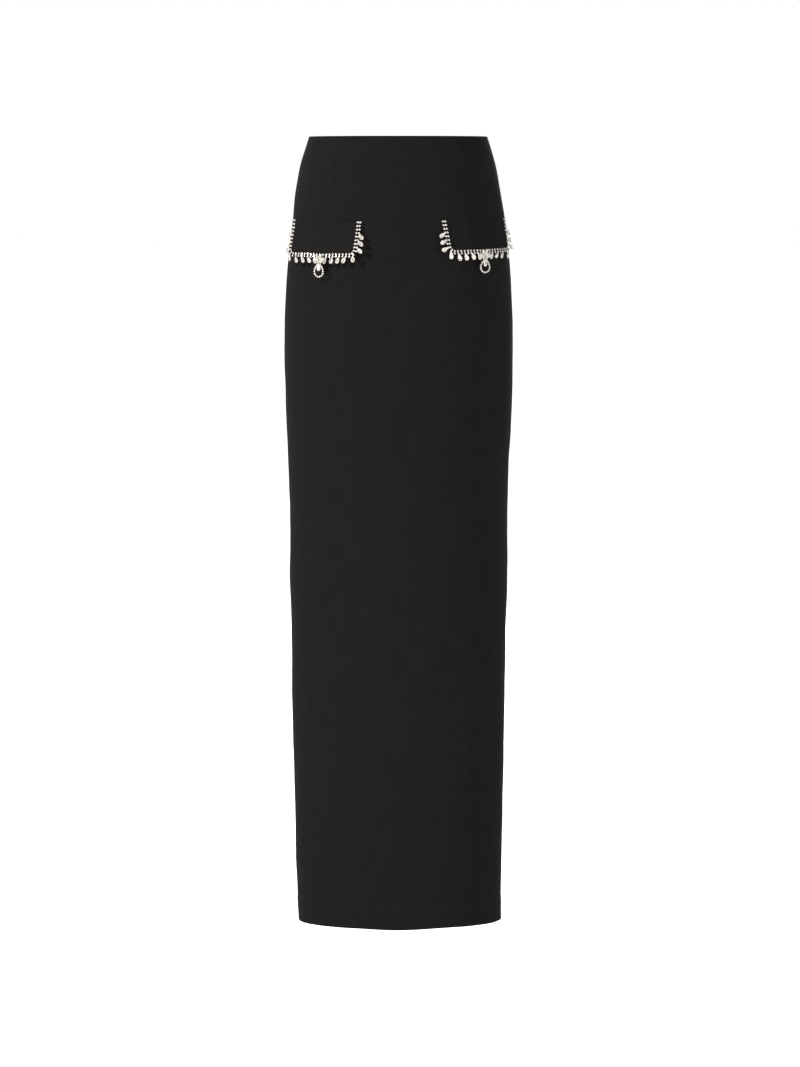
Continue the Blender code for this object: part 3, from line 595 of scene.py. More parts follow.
downStops = stopsBetween(
    0,
    skirt["length"],
    5.4 * mm,
    dense=(
        (0, 1.2 * mm, 0.2 * mm),
        (12 * mm, 5 * mm, 0.5 * mm),
        (seamLook["flapSeamDrop"], 3.0 * mm, 0.4 * mm),
        (skirt["length"] - seamLook["hemHeight"], 4 * mm, 1.0 * mm),
        (skirt["length"], 1.2 * mm, 0.2 * mm),
    ),
)


def flapSeamRelief(angle, drop):
    relief = 0.0
    for flap in flaps.values():
        inner, outer, dropInner, dropOuter = flap["seam"]
        share = (flap["sign"] * np.degrees(angle) - inner) / (outer - inner)
        line = between(dropInner, dropOuter, share) * mm - seamLook["flapSeamAbove"]
        within = ease((share + 0.04) / 0.03) * (1 - ease((share - 1.02) / 0.03))
        groove = bell((drop - line) / seamLook["flapSeamWidth"])
        relief = relief - seamLook["flapSeamDepth"] * groove * within
    return relief


def frontPlace(across, drop, side):
    limit = np.radians(skirt["sideSeam"]) + skirt["sewnLap"] / 2 / sideRadius(drop)
    angle = np.radians(across + dartWarp("front", across, drop))
    angle = angle * limit / np.radians(skirt["sideSeam"])
    beside = (limit - np.abs(angle)) * sideRadius(drop)
    edge = np.minimum(beside, np.minimum(drop, skirt["length"] - drop))
    relief = dartRelief("front", angle, drop) + flapSeamRelief(angle, drop) + hemRelief(drop)
    crease = creaseDepth(frontCreases, angle, drop) * ease(beside / seamLook["creaseStart"])
    relief = relief + sideTuck(beside) - crease - waveDepth(angle, drop)
    spots = wallPlace(angle, drop, side, edge, relief)
    depth, at, spread = skirt["hemDip"]
    run = (drop - skirt["hemDipFrom"]) / (skirt["length"] - skirt["hemDipFrom"])
    spots[:, 2] -= depth * ease(run) * bell((np.degrees(angle) - at) / spread)
    return spots, pairs(angle * skirt["mapRadius"], drop)


def backHalfGap(drop):
    half, top, end = skirt["mouth"]
    mouth = half * ease((drop - top) / mm) * (1 - ease((drop - end) / mm))
    run = (drop - skirt["slitTop"]) / (skirt["length"] - skirt["slitTop"])
    slit = skirt["slitHalfGap"] * np.clip(run, 0, 1) ** skirt["slitPower"]
    return mouth + slit - skirt["sewnLap"] / 2


def backPlace(sign):
    def place(across, drop, side):
        seam = np.radians(skirt["sideSeam"])
        start = seam - skirt["sewnLap"] / 2 / sideRadius(drop)
        end = math.pi - backHalfGap(drop) / backRadius(drop)
        plain = np.radians(across + dartWarp("back", across, drop))
        angle = between(start, end, (plain - seam) / (math.pi - seam))
        besideSeam = (angle - start) * sideRadius(drop)
        besideBack = (end - angle) * backRadius(drop)
        beside = np.minimum(besideSeam, besideBack)
        edge = np.minimum(beside, np.minimum(drop, skirt["length"] - drop))
        sewn = 1 - ease((drop - skirt["slitTop"]) / (25 * mm))
        relief = dartRelief("back", sign * angle, drop) + hemRelief(drop)
        relief = relief + sideTuck(besideSeam) + sideTuck(besideBack) * sewn
        crease = creaseDepth(backCreases, sign * angle, drop) * ease(beside / seamLook["creaseStart"])
        relief = relief - crease - waveDepth(sign * angle, drop)
        spots = wallPlace(sign * angle, drop, side, edge, relief)
        return spots, pairs(sign * angle * skirt["mapRadius"], drop)

    return place


flaps = {
    "right": {
        "sign": -1,
        # inner and outer angle, drop at the inner and outer end, of the seam and lower edge
        "seam": (31.1, 75.0, 115.5, 114.3),
        "low": (32.6, 71.0, 161.6, 162.2),
        "sag": 0.9 * mm,
        # share of the width, how far the lower edge stands off the skirt in millimetres
        "stand": ((-0.1, 7.8), (0, 7.0), (0.25, 4.8), (0.5, 3.6), (0.75, 5.2), (1.0, 10.0), (1.1, 12.4)),
        # share, half width as a share, and depth in millimetres half way down
        "ripples": ((0.34, 0.06, -0.4), (0.52, 0.05, 0.4), (0.66, 0.06, -0.4), (0.86, 0.05, 0.4)),
    },
    "left": {
        "sign": 1,
        "seam": (30.6, 73.8, 114.3, 113.0),
        "low": (32.8, 72.1, 157.6, 155.8),
        "sag": 0.3 * mm,
        "stand": ((-0.1, 7.8), (0, 7.0), (0.25, 4.8), (0.5, 3.4), (0.75, 3.8), (1.0, 5.6), (1.1, 6.6)),
        "ripples": (
            (0.10, 0.05, 0.4),
            (0.30, 0.045, -0.8),
            (0.43, 0.05, 0.9),
            (0.60, 0.05, -0.8),
            (0.78, 0.06, 0.7),
        ),
    },
}
flapCloth = {
    "wall": 2.2 * mm,
    "topWall": 1.0 * mm,
    "pressed": 6 * mm,
    "corner": 7 * mm,
    "sagSpread": 0.1,
    "liftPower": 1.2,
    "kick": 1.6 * mm,  # the stiff outer end leaves the hip at the seam
    "kickFrom": 0.8,
    "kickOver": 0.25,
    "edgeRound": 1.1 * mm,
    "tuck": 1.3 * mm,  # of the top edge into the seam, from this far above it
    "above": 0.9 * mm,
}


def flapByShare(flap, share, q, lift):
    ends = zip(flap["seam"], flap["low"])
    down = q / flap["height"]
    angleIn, angleOut, dropIn, dropOut = (between(seam, low, down) for seam, low in ends)
    angle = flap["sign"] * np.radians(between(angleIn, angleOut, share))
    droop = flap["sag"] * down**2 * bell((share - 0.5) / flapCloth["sagSpread"])
    drop = between(dropIn, dropOut, share) * mm + droop
    kick = flapCloth["kick"] * ease((share - flapCloth["kickFrom"]) / flapCloth["kickOver"]) * (1 - down)
    stand = flap["standOff"](share) * mm * np.maximum(down, 0) ** flapCloth["liftPower"]
    return offSkirt(angle, drop, skirt["seamGap"] + kick + stand + lift)


def flapAt(flap, p, q, lift=0.0):
    # a place on the flap: p metres along the hip from its inner end, q below its seam
    p, q, lift = np.broadcast_arrays(*(np.asarray(v, float) for v in (p, q, lift)))
    return flapByShare(flap, np.interp(p, flap["along"], flapShares), q, lift)


flapShares = np.linspace(-0.12, 1.12, 63)
for flap in flaps.values():
    heights = [flap["low"][k] - flap["seam"][k] for k in (2, 3)]
    flap["height"] = sum(heights) / 2 * mm
    flap["standOff"] = smoothColumn(flap["stand"], 1)
    middle = flapByShare(flap, flapShares, flap["height"] / 2, 0.0)
    along = runAlong(middle)
    flap["along"] = along - np.interp(0.0, flapShares, along)
    flap["width"] = float(np.interp(1.0, flapShares, flap["along"]))


def flapPlace(flap):
    def place(across, down, side):
        into = np.clip(down - (flap["height"] - flapCloth["corner"]), 0, flapCloth["corner"])
        inset = flapCloth["corner"] - np.sqrt(flapCloth["corner"] ** 2 - into**2)
        p = between(inset, flap["width"] - inset, across)
        beside = np.minimum(across, 1 - across) * flap["width"]
        edge = np.minimum(beside, flap["height"] - down)
        thicker = (flapCloth["wall"] - flapCloth["topWall"]) * ease(down / flapCloth["pressed"])
        thickness = flapCloth["topWall"] + thicker
        half = thickness / 2 * wallShare(edge, flapCloth["edgeRound"])
        lift = thickness / 2 + half * (2 * side - 1)
        lift = lift - flapCloth["tuck"] * (1 - ease((down / flapCloth["above"] + 1) / 2))
        part = np.clip(down / flap["height"], 0, 1)
        for at, width, depth in flap["ripples"]:
            lift = lift - depth * mm * 4 * part * (1 - part) * bell((across - at) / width)
        return flapAt(flap, p, down, lift), pairs(p, down)

    return place


columnStep = 2.2  # degrees, with the reach and spacing of closer columns below
besideSeams = (1.2, 0.12)
besideDarts = (1.8, 0.22)
sideSeam = skirt["sideSeam"]
frontDense = [(at, *besideSeams) for at in (-sideSeam, sideSeam)]
frontDense += [(at, *besideDarts) for at in (-darts["front"][0][0], darts["front"][0][0])]
backDense = [(sideSeam, *besideSeams), (180, *besideSeams), (darts["back"][0][0], *besideDarts)]
frontStops = stopsBetween(-sideSeam, sideSeam, columnStep, frontDense)
backStops = stopsBetween(sideSeam, 180, columnStep, backDense)
frontCloth = clothWall("frontPanel", frontStops, downStops, frontPlace, blackCrepe)
standFor(frontCloth, "skirt", "front_panel")
for side, sign in (("Left", 1), ("Right", -1)):
    backCloth = clothWall("backPanel" + side, backStops, downStops, backPlace(sign), blackCrepe)
    standFor(backCloth, "skirt", "back_panel_" + side.lower())
print("panels made")

flapAcross = stopsBetween(0, 1, 0.025, dense=((0, 0.012, 0.002), (1, 0.012, 0.002)))
for side, flap in flaps.items():
    flapDense = ((0, 2 * mm, 0.3 * mm), (flap["height"], 1.2 * mm, 0.2 * mm))
    flapDowns = stopsBetween(-flapCloth["above"], flap["height"], 1.6 * mm, flapDense)
    flapCover = clothWall("flap" + side.capitalize(), flapAcross, flapDowns, flapPlace(flap), blackCrepe)
    standFor(flapCover, "skirt", "flap_" + side)
print("flaps made")


# Crystals. Each small shape is made once in its own directions, x across, y down and z
# out, and then copied to its places.


def evenTurns(sides):
    return np.linspace(0, 2 * math.pi, sides, endpoint=False)


def outlineRound(diameter, sides=8, turn=0.0):
    turns = evenTurns(sides) + turn
    return pairs(np.cos(turns), np.sin(turns)) * diameter / 2


def outlinePear(length, width, sides=12, shoulder=0.5):
    turns = evenTurns(sides)
    across = np.sin(turns) * np.sin(turns / 2) ** shoulder
    across *= width / 2 / np.abs(across).max()
    return pairs(across, length * (1 - np.cos(turns)) / 2)


def outlineNavette(length, width, sides=12):
    turns = evenTurns(sides)
    across = np.sin(turns) * np.abs(np.sin(turns)) ** 0.35 * width / 2
    return pairs(across, length * (1 - np.cos(turns)) / 2)


def readLine(points, run, at):
    # the place this far along a line
    return pairs(*(np.interp(at, run, points[:, k]) for k in (0, 1)))


def closed(points):
    return np.vstack([points, points[:1]])


def paint(verts, material):
    for face in {link for vert in verts for link in vert.link_faces}:
        face.material_index = material


def addLayers(shape, outline, layers, material, turn=0.0, shift=(0.0, 0.0, 0.0)):
    # an outline pushed up through layers of (height, size), its last face the table
    ring = bmesh.ops.create_circle(shape, cap_ends=True, segments=len(outline), radius=1.0)
    verts = ring["verts"]
    middle = outline.mean(axis=0)
    size = layers[0][1]
    for vert, spot in zip(verts, outline):
        flat = middle + (spot - middle) * size
        vert.co = (flat[0], flat[1], layers[0][0])
    made = set(verts)
    face = verts[0].link_faces[0]
    for height, nextSize in layers[1:]:
        grown = bmesh.ops.extrude_face_region(shape, geom=[face])["geom"]
        face = next(part for part in grown if isinstance(part, bmesh.types.BMFace))
        for vert in face.verts:
            flat = middle + (np.array(vert.co[:2]) - middle) * nextSize / size
            vert.co = (flat[0], flat[1], height)
            made.add(vert)
        size = nextSize
    paint(made, material)
    place = Matrix.Translation(shift) @ Matrix.Rotation(turn, 4, "Z")
    bmesh.ops.transform(shape, matrix=place, verts=list(made))


def addBox(shape, size, middle, material, turn=0.0, tilt=0.0, taper=1.0):
    cube = bmesh.ops.create_cube(shape, size=1.0)["verts"]
    for vert in cube:
        narrow = taper if vert.co.z > 0 else 1.0
        vert.co = (vert.co.x * size[0] * narrow, vert.co.y * size[1] * narrow, vert.co.z * size[2])
    place = Matrix.Rotation(turn, 4, "Z") @ Matrix.Translation(middle) @ Matrix.Rotation(tilt, 4, "Y")
    bmesh.ops.transform(shape, matrix=place, verts=cube)
    paint(cube, material)
    return cube


stoneFace, cupFace = 0, 1
# layers are (height, size), as shares of a round stone's width or of a shaped one's height
# and outline; prongs lean in by so many radians and narrow to the taper
roundCut = {
    "cup": ((0, 0.72), (0.14, 0.84), (0.38, 0.98)),
    "stone": ((0.34, 0.96), (0.42, 1.0), (0.53, 0.84), (0.62, 0.56)),
    "stoneWidth": 0.94,
    "prong": (0.1, 0.13, 0.32),
    "prongPlace": (0.45, 0, 0.38),
    "prongLean": -0.42,
}
shapedCut = {
    "cup": ((0, 0.86), (0.3, 0.97), (0.52, 1.0)),
    "stone": ((0.5, 0.88), (0.6, 0.9), (0.82, 0.72), (1.0, 0.44)),
    "prong": (0.24, 0.26, 0.5),
    "prongAway": 0.93,
    "prongUp": 0.66,
    "prongLean": -0.45,
}
prongTaper = 0.6


def scaled(values, size):
    return tuple(value * size for value in values)


def setStone(shape, cut, cup, stone, height, turn, shift):
    for outline, layers, material in ((cup, cut["cup"], cupFace), (stone, cut["stone"], stoneFace)):
        addLayers(shape, outline, [(h * height, s) for h, s in layers], material, turn, shift)


def addRoundStone(shape, diameter, base, spot=(0.0, 0.0), prongs=4, sides=8):
    # base is the cup's foot
    shift = (*spot, base)
    stone = outlineRound(diameter * roundCut["stoneWidth"], sides, 0.2)
    setStone(shape, roundCut, outlineRound(diameter, 10), stone, diameter, 0.0, shift)
    size, middle = (scaled(roundCut[key], diameter) for key in ("prong", "prongPlace"))
    for k in range(prongs):
        turn = 2 * math.pi * (k + 0.5) / prongs
        verts = addBox(shape, size, middle, cupFace, turn, roundCut["prongLean"], prongTaper)
        bmesh.ops.translate(shape, verts=verts, vec=shift)


def addShapedStone(shape, outline, base, height, spot, prongs, turn=0.0):
    # a pear or navette in its own cup, with a prong at each share of the way round it
    shift = (*spot, base)
    setStone(shape, shapedCut, outline, outline, height, turn, shift)
    middle = outline.mean(axis=0)
    wide = np.abs(outline[:, 0]).max()
    size = (*scaled(shapedCut["prong"][:2], wide), shapedCut["prong"][2] * height)
    for share in prongs:
        at = share * len(outline)
        away = readLine(closed(outline), range(len(outline) + 1), at) - middle
        foot = (*(middle + away * shapedCut["prongAway"]), shapedCut["prongUp"] * height)
        verts = addBox(shape, size, (0, 0, 0), cupFace, 0.0, shapedCut["prongLean"], prongTaper)
        place = Matrix.Translation(foot) @ Matrix.Rotation(math.atan2(away[1], away[0]), 4, "Z")
        place = Matrix.Translation(shift) @ Matrix.Rotation(turn, 4, "Z") @ place
        bmesh.ops.transform(shape, matrix=place, verts=verts)


def placeMatrix(origin, across, down, out):
    return Matrix(np.vstack([np.stack([across, down, out, origin], axis=-1), (0, 0, 0, 1)]).tolist())


paintedGlintLook = {
    "spread": (1.6, 1.0),  # of the facets' painted glints, by a beta distribution
    "table": (0.05, 0.35),  # the wide tables of the shaped stones get greyer painted reflections than their rims
    "tableSides": 10,  # a table has more
}


def joinCopies(name, parts, body, node, seed, leastGlint=0.0):
    # parts are (mesh, matrix); each of the faces gets a painted glint of its own, from the least to 1, that
    # lightens or darkens its colour
    shape = bmesh.new()
    for mesh, matrix in parts:
        addMesh(shape, mesh, matrix)
    mesh = asMesh(shape, name)
    # extruding leaves the faces in another order each run, so the draws go out by place
    centres = np.array([face.center for face in mesh.polygons])
    draws = np.random.default_rng(seed).beta(*paintedGlintLook["spread"], len(centres))
    paintedGlints = np.empty(len(centres))
    paintedGlints[np.lexsort(centres.round(7).T)] = draws
    table = np.array([len(face.vertices) > paintedGlintLook["tableSides"] for face in mesh.polygons])
    paintedGlints = np.where(table, between(*paintedGlintLook["table"], paintedGlints), between(leastGlint, 1, paintedGlints))
    mesh.attributes.new("paintedFacetGlint", "FLOAT", "FACE").data.foreach_set("value", paintedGlints)
    piece = newObject(name, mesh, crystal, silver)
    standFor(piece, body, node)


chain = {
    "pitch": 5.1 * mm,
    "start": -1.0 * mm,
    "overhang": 1.0 * mm,
    "stone": 3.1 * mm,
    "spread": 1.68 * mm,  # each stone's centre from the chain's middle line
    "back": 2.5 * mm,  # its back, above the flap's inner face
    "foot": -0.3 * mm,  # each cup is sewn down on the cloth
    "bar": (1.1 * mm, 1.2 * mm, 0.6 * mm),
    "tilt": 6.0,  # degrees
}
drops = {
    "length": 9.5 * mm,
    "width": 5.7 * mm,
    "top": 1.1 * mm,
    "root": 1.3 * mm,
    "height": 2.3 * mm,
    "foot": 0.7 * mm,
    "stem": (0.8 * mm, 2.6 * mm, 0.5 * mm),
    "ring": (0.85 * mm, 0.26 * mm, 6, 10),  # radius, wire radius, sides and steps
    # the rungs that carry one, counted from the flap's inner end and from its outer end
    "inner": {"right": range(3, 18, 2), "left": (3, 5, 7, 8, 10, 12, 14, 16)},
    "outer": range(3, 18, 2),
    "lean": math.radians(24),
    "spread": math.radians(7),
    "rhythm": 2.4,
    "sag": {"right": math.radians(50), "left": math.radians(30)},
    "clear": 7.0 * mm,
}


def chainParts(flap):
    # the radius of its corners, and the lengths of an upright, a corner and the whole
    radius = flapCloth["corner"] + chain["overhang"]
    upright = flap["height"] - flapCloth["corner"] - chain["start"]
    quarter = math.pi * radius / 2
    return radius, upright, quarter, 2 * (upright + quarter) + flap["width"] - 2 * flapCloth["corner"]


def chainAt(flap, s):
    # (p, q, outward p, outward q) s metres along the chain
    radius, upright, quarter, total = chainParts(flap)
    if s > total / 2:
        p, q, outP, outQ = chainAt(flap, total - s)
        return flap["width"] - p, q, -outP, outQ
    if s < upright:
        return -chain["overhang"], chain["start"] + s, -1.0, 0.0
    turn = min((s - upright) / radius, math.pi / 2)
    along = max(0.0, s - upright - quarter)
    p = flapCloth["corner"] - radius * math.cos(turn) + along
    return p, chain["start"] + upright + radius * math.sin(turn), -math.cos(turn), math.sin(turn)


def flapSlope(flap, p, q, stepP, stepQ, lift):
    # the way that the flap's face runs from this place
    ahead = flapAt(flap, p + stepP, q + stepQ, lift)
    return unit(ahead - flapAt(flap, p - stepP, q - stepQ, lift))


def uprightPlace(flap, p, q, lift):
    across = unit(flapSlope(flap, p, q, 0.5 * mm, 0, lift) * np.array([1.0, 1.0, 0.0]))
    down = np.array([0.0, 0.0, -1.0])
    return flapAt(flap, p, q, lift), across, down, np.cross(down, across) * flap["sign"]


def rungMesh():
    shape = bmesh.new()
    for side in (-1, 1):
        addRoundStone(shape, chain["stone"], chain["foot"], (side * chain["spread"], 0.0))
    addBox(shape, chain["bar"], (0, 0, 0.5 * mm), cupFace)
    return asMesh(shape, "rung")


def wireRing(radius, wire, sides, steps):
    # a little ring of wire about the x axis
    shape = bmesh.new()
    for vert in bmesh.ops.create_circle(shape, segments=sides, radius=wire)["verts"]:
        vert.co.y += radius
    geometry = shape.verts[:] + shape.edges[:]
    bmesh.ops.spin(
        shape, geom=geometry, cent=(0, 0, 0), axis=(1, 0, 0), angle=2 * math.pi, steps=steps, use_merge=True
    )
    paint(shape.verts, cupFace)
    return asMesh(shape, "wireRing")


def addMesh(shape, mesh, matrix):
    copy = mesh.copy()
    copy.transform(matrix)
    shape.from_mesh(copy)
    bpy.data.meshes.remove(copy)


def dropMesh():
    shape = bmesh.new()
    outline = outlinePear(drops["length"], drops["width"], 12, 0.55)
    addShapedStone(shape, outline, drops["foot"], drops["height"], (0, drops["top"]), (0.25, 0.5, 0.75))
    addBox(shape, drops["stem"], (0, 0.6 * mm, drops["foot"]), cupFace)
    turn = Matrix.Rotation(math.pi / 2, 4, "Y")
    place = Matrix.Translation((0, drops["top"] - 0.2 * mm, 1.1 * mm))
    addMesh(shape, wireRing(*drops["ring"]), place @ turn)
    return asMesh(shape, "drop")


def turnedMatrix(place, turn):
    # turned in its own face, from straight down towards across
    origin, across, down, out = place
    downTurned = across * math.sin(turn) + down * math.cos(turn)
    acrossTurned = across * math.cos(turn) - down * math.sin(turn)
    return placeMatrix(origin, acrossTurned, downTurned, out)


def dropPlaces(side, flap, rungs, pitch):
    places = []
    middle = flap["width"] / 2
    carried = {*drops["inner"][side], *(rungs - 1 - k for k in drops["outer"])}
    for k in sorted(carried):
        p, q, outP, outQ = chainAt(flap, (k + 0.5) * pitch)
        if abs(p - middle) < drops["clear"]:
            continue
        turn = drops["spread"] * math.sin(drops["rhythm"] * k)
        if abs(outP) > 0.9:
            turn += math.copysign(math.pi / 2 - drops["sag"][side], outP)
        elif abs(outP) < 0.1:
            turn += math.copysign(drops["lean"], middle - p)
        place = uprightPlace(flap, p + drops["root"] * outP, q + drops["root"] * outQ, chain["back"])
        places.append(turnedMatrix(place, turn))
    return places


def rungMatrix(flap, s):
    p, q, outP, outQ = chainAt(flap, s)
    step, lift = 0.4 * mm, chain["back"]
    wide = flapSlope(flap, p, q, step * outP, step * outQ, lift)
    along = flapSlope(flap, p, q, -step * outQ, step * outP, lift)
    out = unit(np.cross(wide, along))
    if out @ (flapAt(flap, p, q, lift + mm) - flapAt(flap, p, q, lift)) < 0:
        out = -out
    return placeMatrix(flapAt(flap, p, q, lift), wide, along, out)


cluster = {
    "stones": (  # across, down, degrees from straight down, length and width in millimetres
        (-0.9, -0.4, -150, 6.6, 4.0),
        (0.9, -0.4, 150, 6.6, 4.0),
        (-0.9, -0.9, -62, 9.0, 5.4),
        (0.9, -0.9, 62, 9.0, 5.4),
        (-1.1, 0.2, -22, 7.2, 4.2),
        (1.1, 0.2, 22, 7.2, 4.2),
    ),
    "foot": 0.15 * mm,
    "height": 2.5 * mm,
    "prongs": (0.5, 0.22, 0.78),
    "middle": -0.6 * mm,
    "round": 4.2 * mm,
    "roundFoot": 0.75 * mm,
    "plate": 5.4 * mm,
    "arm": (0.9 * mm, 5.0 * mm, 1.3 * mm),
    "armPlace": (1.6 * mm, 2.5 * mm),
    "rod": (0.5 * mm, 3.9 * mm),  # radius and length
    "hingeDown": 4.4 * mm,
    "hingeOut": 1.5 * mm,
    "chainDepth": 2.3 * mm,
    "chainHalf": 3.4 * mm,
}
pendant = {
    "width": {"right": 16.4 * mm, "left": 18.0 * mm},
    "height": 21.0 * mm,
    "stone": 2.85 * mm,
    "stones": 15,
    "leastPaintedGlint": {"right": 0.2, "left": 0.5},  # the dimmest painted glint of a ring's faces, from 0 to 1, so that each ring is painted brighter
    "top": 1.1 * mm,
    "bail": 1.5 * mm,
    "bailWire": 0.45 * mm,
    "pearLength": 11.0 * mm,
    "pearWidth": 6.3 * mm,
    "pearTop": 0.6 * mm,
    "pearFoot": 0.4 * mm,
    "pearHeight": 2.4 * mm,
    "inset": 1.45 * mm,  # of the stones' centres from the ring's edge
    "foot": 0.25 * mm,
    "link": (0.7 * mm, 0.6 * mm),  # width and thickness
    "linkUp": 0.85 * mm,
}


def tiltMatrix(aboutAcross, aboutDown):
    across = Matrix.Rotation(math.radians(aboutAcross), 4, "X")
    return across @ Matrix.Rotation(math.radians(aboutDown), 4, "Y")


def clusterPlace(flap):
    q = flap["height"] + chain["overhang"] + cluster["chainHalf"]
    lift = chain["back"] + cluster["chainDepth"]
    origin, across, down, out = uprightPlace(flap, flap["width"] / 2, q, lift)
    return origin + out * skirt["seamGap"], across, down, out


def clusterMesh():
    shape = bmesh.new()
    for number, (across, down, angle, length, width) in enumerate(cluster["stones"]):
        make = outlineNavette if number < 2 else outlinePear
        outline = make(length * mm, width * mm, 12)
        spot = (across * mm, down * mm)
        # the matrix turns x towards -y, so the turn is taken the other way here
        turn = -math.radians(angle)
        addShapedStone(shape, outline, cluster["foot"], cluster["height"], spot, cluster["prongs"], turn)
    plate = outlineRound(cluster["plate"], 12)
    addLayers(shape, plate, ((0, 0.9), (1.0 * mm, 0.8)), cupFace, 0.0, (0, cluster["middle"], 0))
    addRoundStone(shape, cluster["round"], cluster["roundFoot"], (0, cluster["middle"]), sides=12)
    armAside, armDown = cluster["armPlace"]
    for side in (-1, 1):
        addBox(shape, cluster["arm"], (side * armAside, armDown, cluster["hingeOut"]), cupFace)
    radius, length = cluster["rod"]
    place = Matrix.Translation((0, cluster["hingeDown"], cluster["hingeOut"]))
    rod = bmesh.ops.create_cone(
        shape,
        cap_ends=True,
        segments=12,
        radius1=radius,
        radius2=radius,
        depth=length,
        matrix=place @ Matrix.Rotation(math.pi / 2, 4, "Y"),
    )
    paint(rod["verts"], cupFace)
    return asMesh(shape, "cluster")


def ringSpots(width):
    # the centres of the ring's stones
    inset, stones = pendant["inset"], pendant["stones"]
    path = closed(outlinePear(pendant["height"] - 2 * inset, width - 2 * inset, 720, 0.6))
    run = runAlong(path)
    top = cluster["hingeDown"] + pendant["top"] + inset
    return readLine(path, run, run[-1] * np.arange(stones) / stones) + (0, top)


def pendantMesh(side):
    shape = bmesh.new()
    spots = ringSpots(pendant["width"][side])
    for spot, following in zip(spots, np.roll(spots, -1, axis=0)):
        addRoundStone(shape, pendant["stone"], pendant["foot"], spot)
        step = following - spot
        link = addBox(shape, (np.linalg.norm(step), *pendant["link"]), (0, 0, 0), cupFace)
        turn = Matrix.Rotation(math.atan2(step[1], step[0]), 4, "Z")
        place = Matrix.Translation((*(spot + step / 2), pendant["linkUp"]))
        bmesh.ops.transform(shape, matrix=place @ turn, verts=link)
    outline = outlinePear(pendant["pearLength"], pendant["pearWidth"], 16, 0.8)
    spot = (0, cluster["hingeDown"] + pendant["top"] + pendant["pearTop"])
    addShapedStone(shape, outline, pendant["pearFoot"], pendant["pearHeight"], spot, (0.28, 0.5, 0.72))
    bail = wireRing(pendant["bail"], pendant["bailWire"], 8, 16)
    addMesh(shape, bail, Matrix.Translation((0, cluster["hingeDown"], cluster["hingeOut"])))
    return asMesh(shape, "pendant")


for seed, (side, flap) in enumerate(flaps.items()):
    length = chainParts(flap)[-1]
    rungs = round(length / chain["pitch"])
    pitch = length / rungs
    rung, drop = rungMesh(), dropMesh()
    # no two rungs lie quite alike, so they catch the light one by one
    tilts = np.random.default_rng(40 + seed).uniform(-chain["tilt"], chain["tilt"], (rungs, 2))
    parts = [(rung, rungMatrix(flap, (k + 0.5) * pitch) @ tiltMatrix(*tilts[k])) for k in range(rungs)]
    parts += [(drop, matrix) for matrix in dropPlaces(side, flap, rungs, pitch)]
    end = side.capitalize()
    joinCopies("crystalTrim" + end, parts, "skirt", "trim_" + side, 10 + seed)
    hangPlace = placeMatrix(*clusterPlace(flap))
    joinCopies("cluster" + end, [(clusterMesh(), hangPlace)], "skirt", "cluster_" + side, 20 + seed)
    # the pendants' rings are painted brighter by their least glint
    node, leastGlint = "pendant_" + side, pendant["leastPaintedGlint"][side]
    joinCopies("pendant" + end, [(pendantMesh(side), hangPlace)], node, node, 30 + seed, leastGlint)
print("crystals made")


# The concealed zip, on the inside of the centre back

zipSizes = {
    "top": 3 * mm,
    "bottom": 215 * mm,
    "halfWidth": 12 * mm,
    "tape": 0.8 * mm,
    "off": 1.75 * mm,  # the tape's outer face inside the skirt's outer face
    "toothPitch": 1.5 * mm,
    "toothTop": 18.5 * mm,
    "toothEnd": 211 * mm,
    "tooth": (1.9 * mm, 0.55 * mm, 0.9 * mm),
    "toothAside": 0.75 * mm,
    "bevel": 0.28 * mm,
}


def tapePlace(sign):
    def place(across, drop, side):
        inner = np.maximum(backHalfGap(drop), 0.15 * mm)
        out = between(inner, zipSizes["halfWidth"], across)
        angle = sign * (math.pi - out / backRadius(drop))
        edge = np.minimum(np.minimum(out - inner, zipSizes["halfWidth"] - out), drop - zipSizes["top"])
        edge = np.minimum(edge, zipSizes["bottom"] - drop)
        half = zipSizes["tape"] / 2 * wallShare(edge, 0.4 * mm)
        away = -zipSizes["off"] - zipSizes["tape"] / 2 + half * (2 * side - 1)
        return offSkirt(angle, drop, away), pairs(sign * out, drop)

    return place


def zipTeeth():
    shape = bmesh.new()
    count = int((zipSizes["toothEnd"] - zipSizes["toothTop"]) / zipSizes["toothPitch"])
    for k in range(2 * count):
        sign = 1 if k % 2 else -1
        drop = zipSizes["toothTop"] + k * zipSizes["toothPitch"] / 2
        origin = skirtFace(math.pi, drop)
        out = skirtNormal(math.pi, drop)
        across = np.array([1.0, 0.0, 0.0])
        matrix = placeMatrix(origin, across, unit(np.cross(out, across)), out)
        depth = -zipSizes["off"] - zipSizes["tape"] - zipSizes["tooth"][2] / 2
        verts = addBox(shape, zipSizes["tooth"], (sign * zipSizes["toothAside"], 0, depth), 0)
        bmesh.ops.transform(shape, matrix=matrix, verts=verts)
    return asMesh(shape, "zipTeeth")


tapeDowns = stopsBetween(zipSizes["top"], zipSizes["bottom"], 4 * mm, dense=((26 * mm, 8 * mm, 1 * mm),))
tapeStops = stopsBetween(0, 1, 0.12, dense=((0, 0.06, 0.015), (1, 0.06, 0.015)))
for side, sign in (("Left", 1), ("Right", -1)):
    tape = clothWall("zipTape" + side, tapeStops, tapeDowns, tapePlace(sign), wovenTape)
    standFor(tape, "skirt", "zip_tape")
teeth = newObject("zipTeeth", zipTeeth(), blackEnamel)
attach(teeth, "skirt")


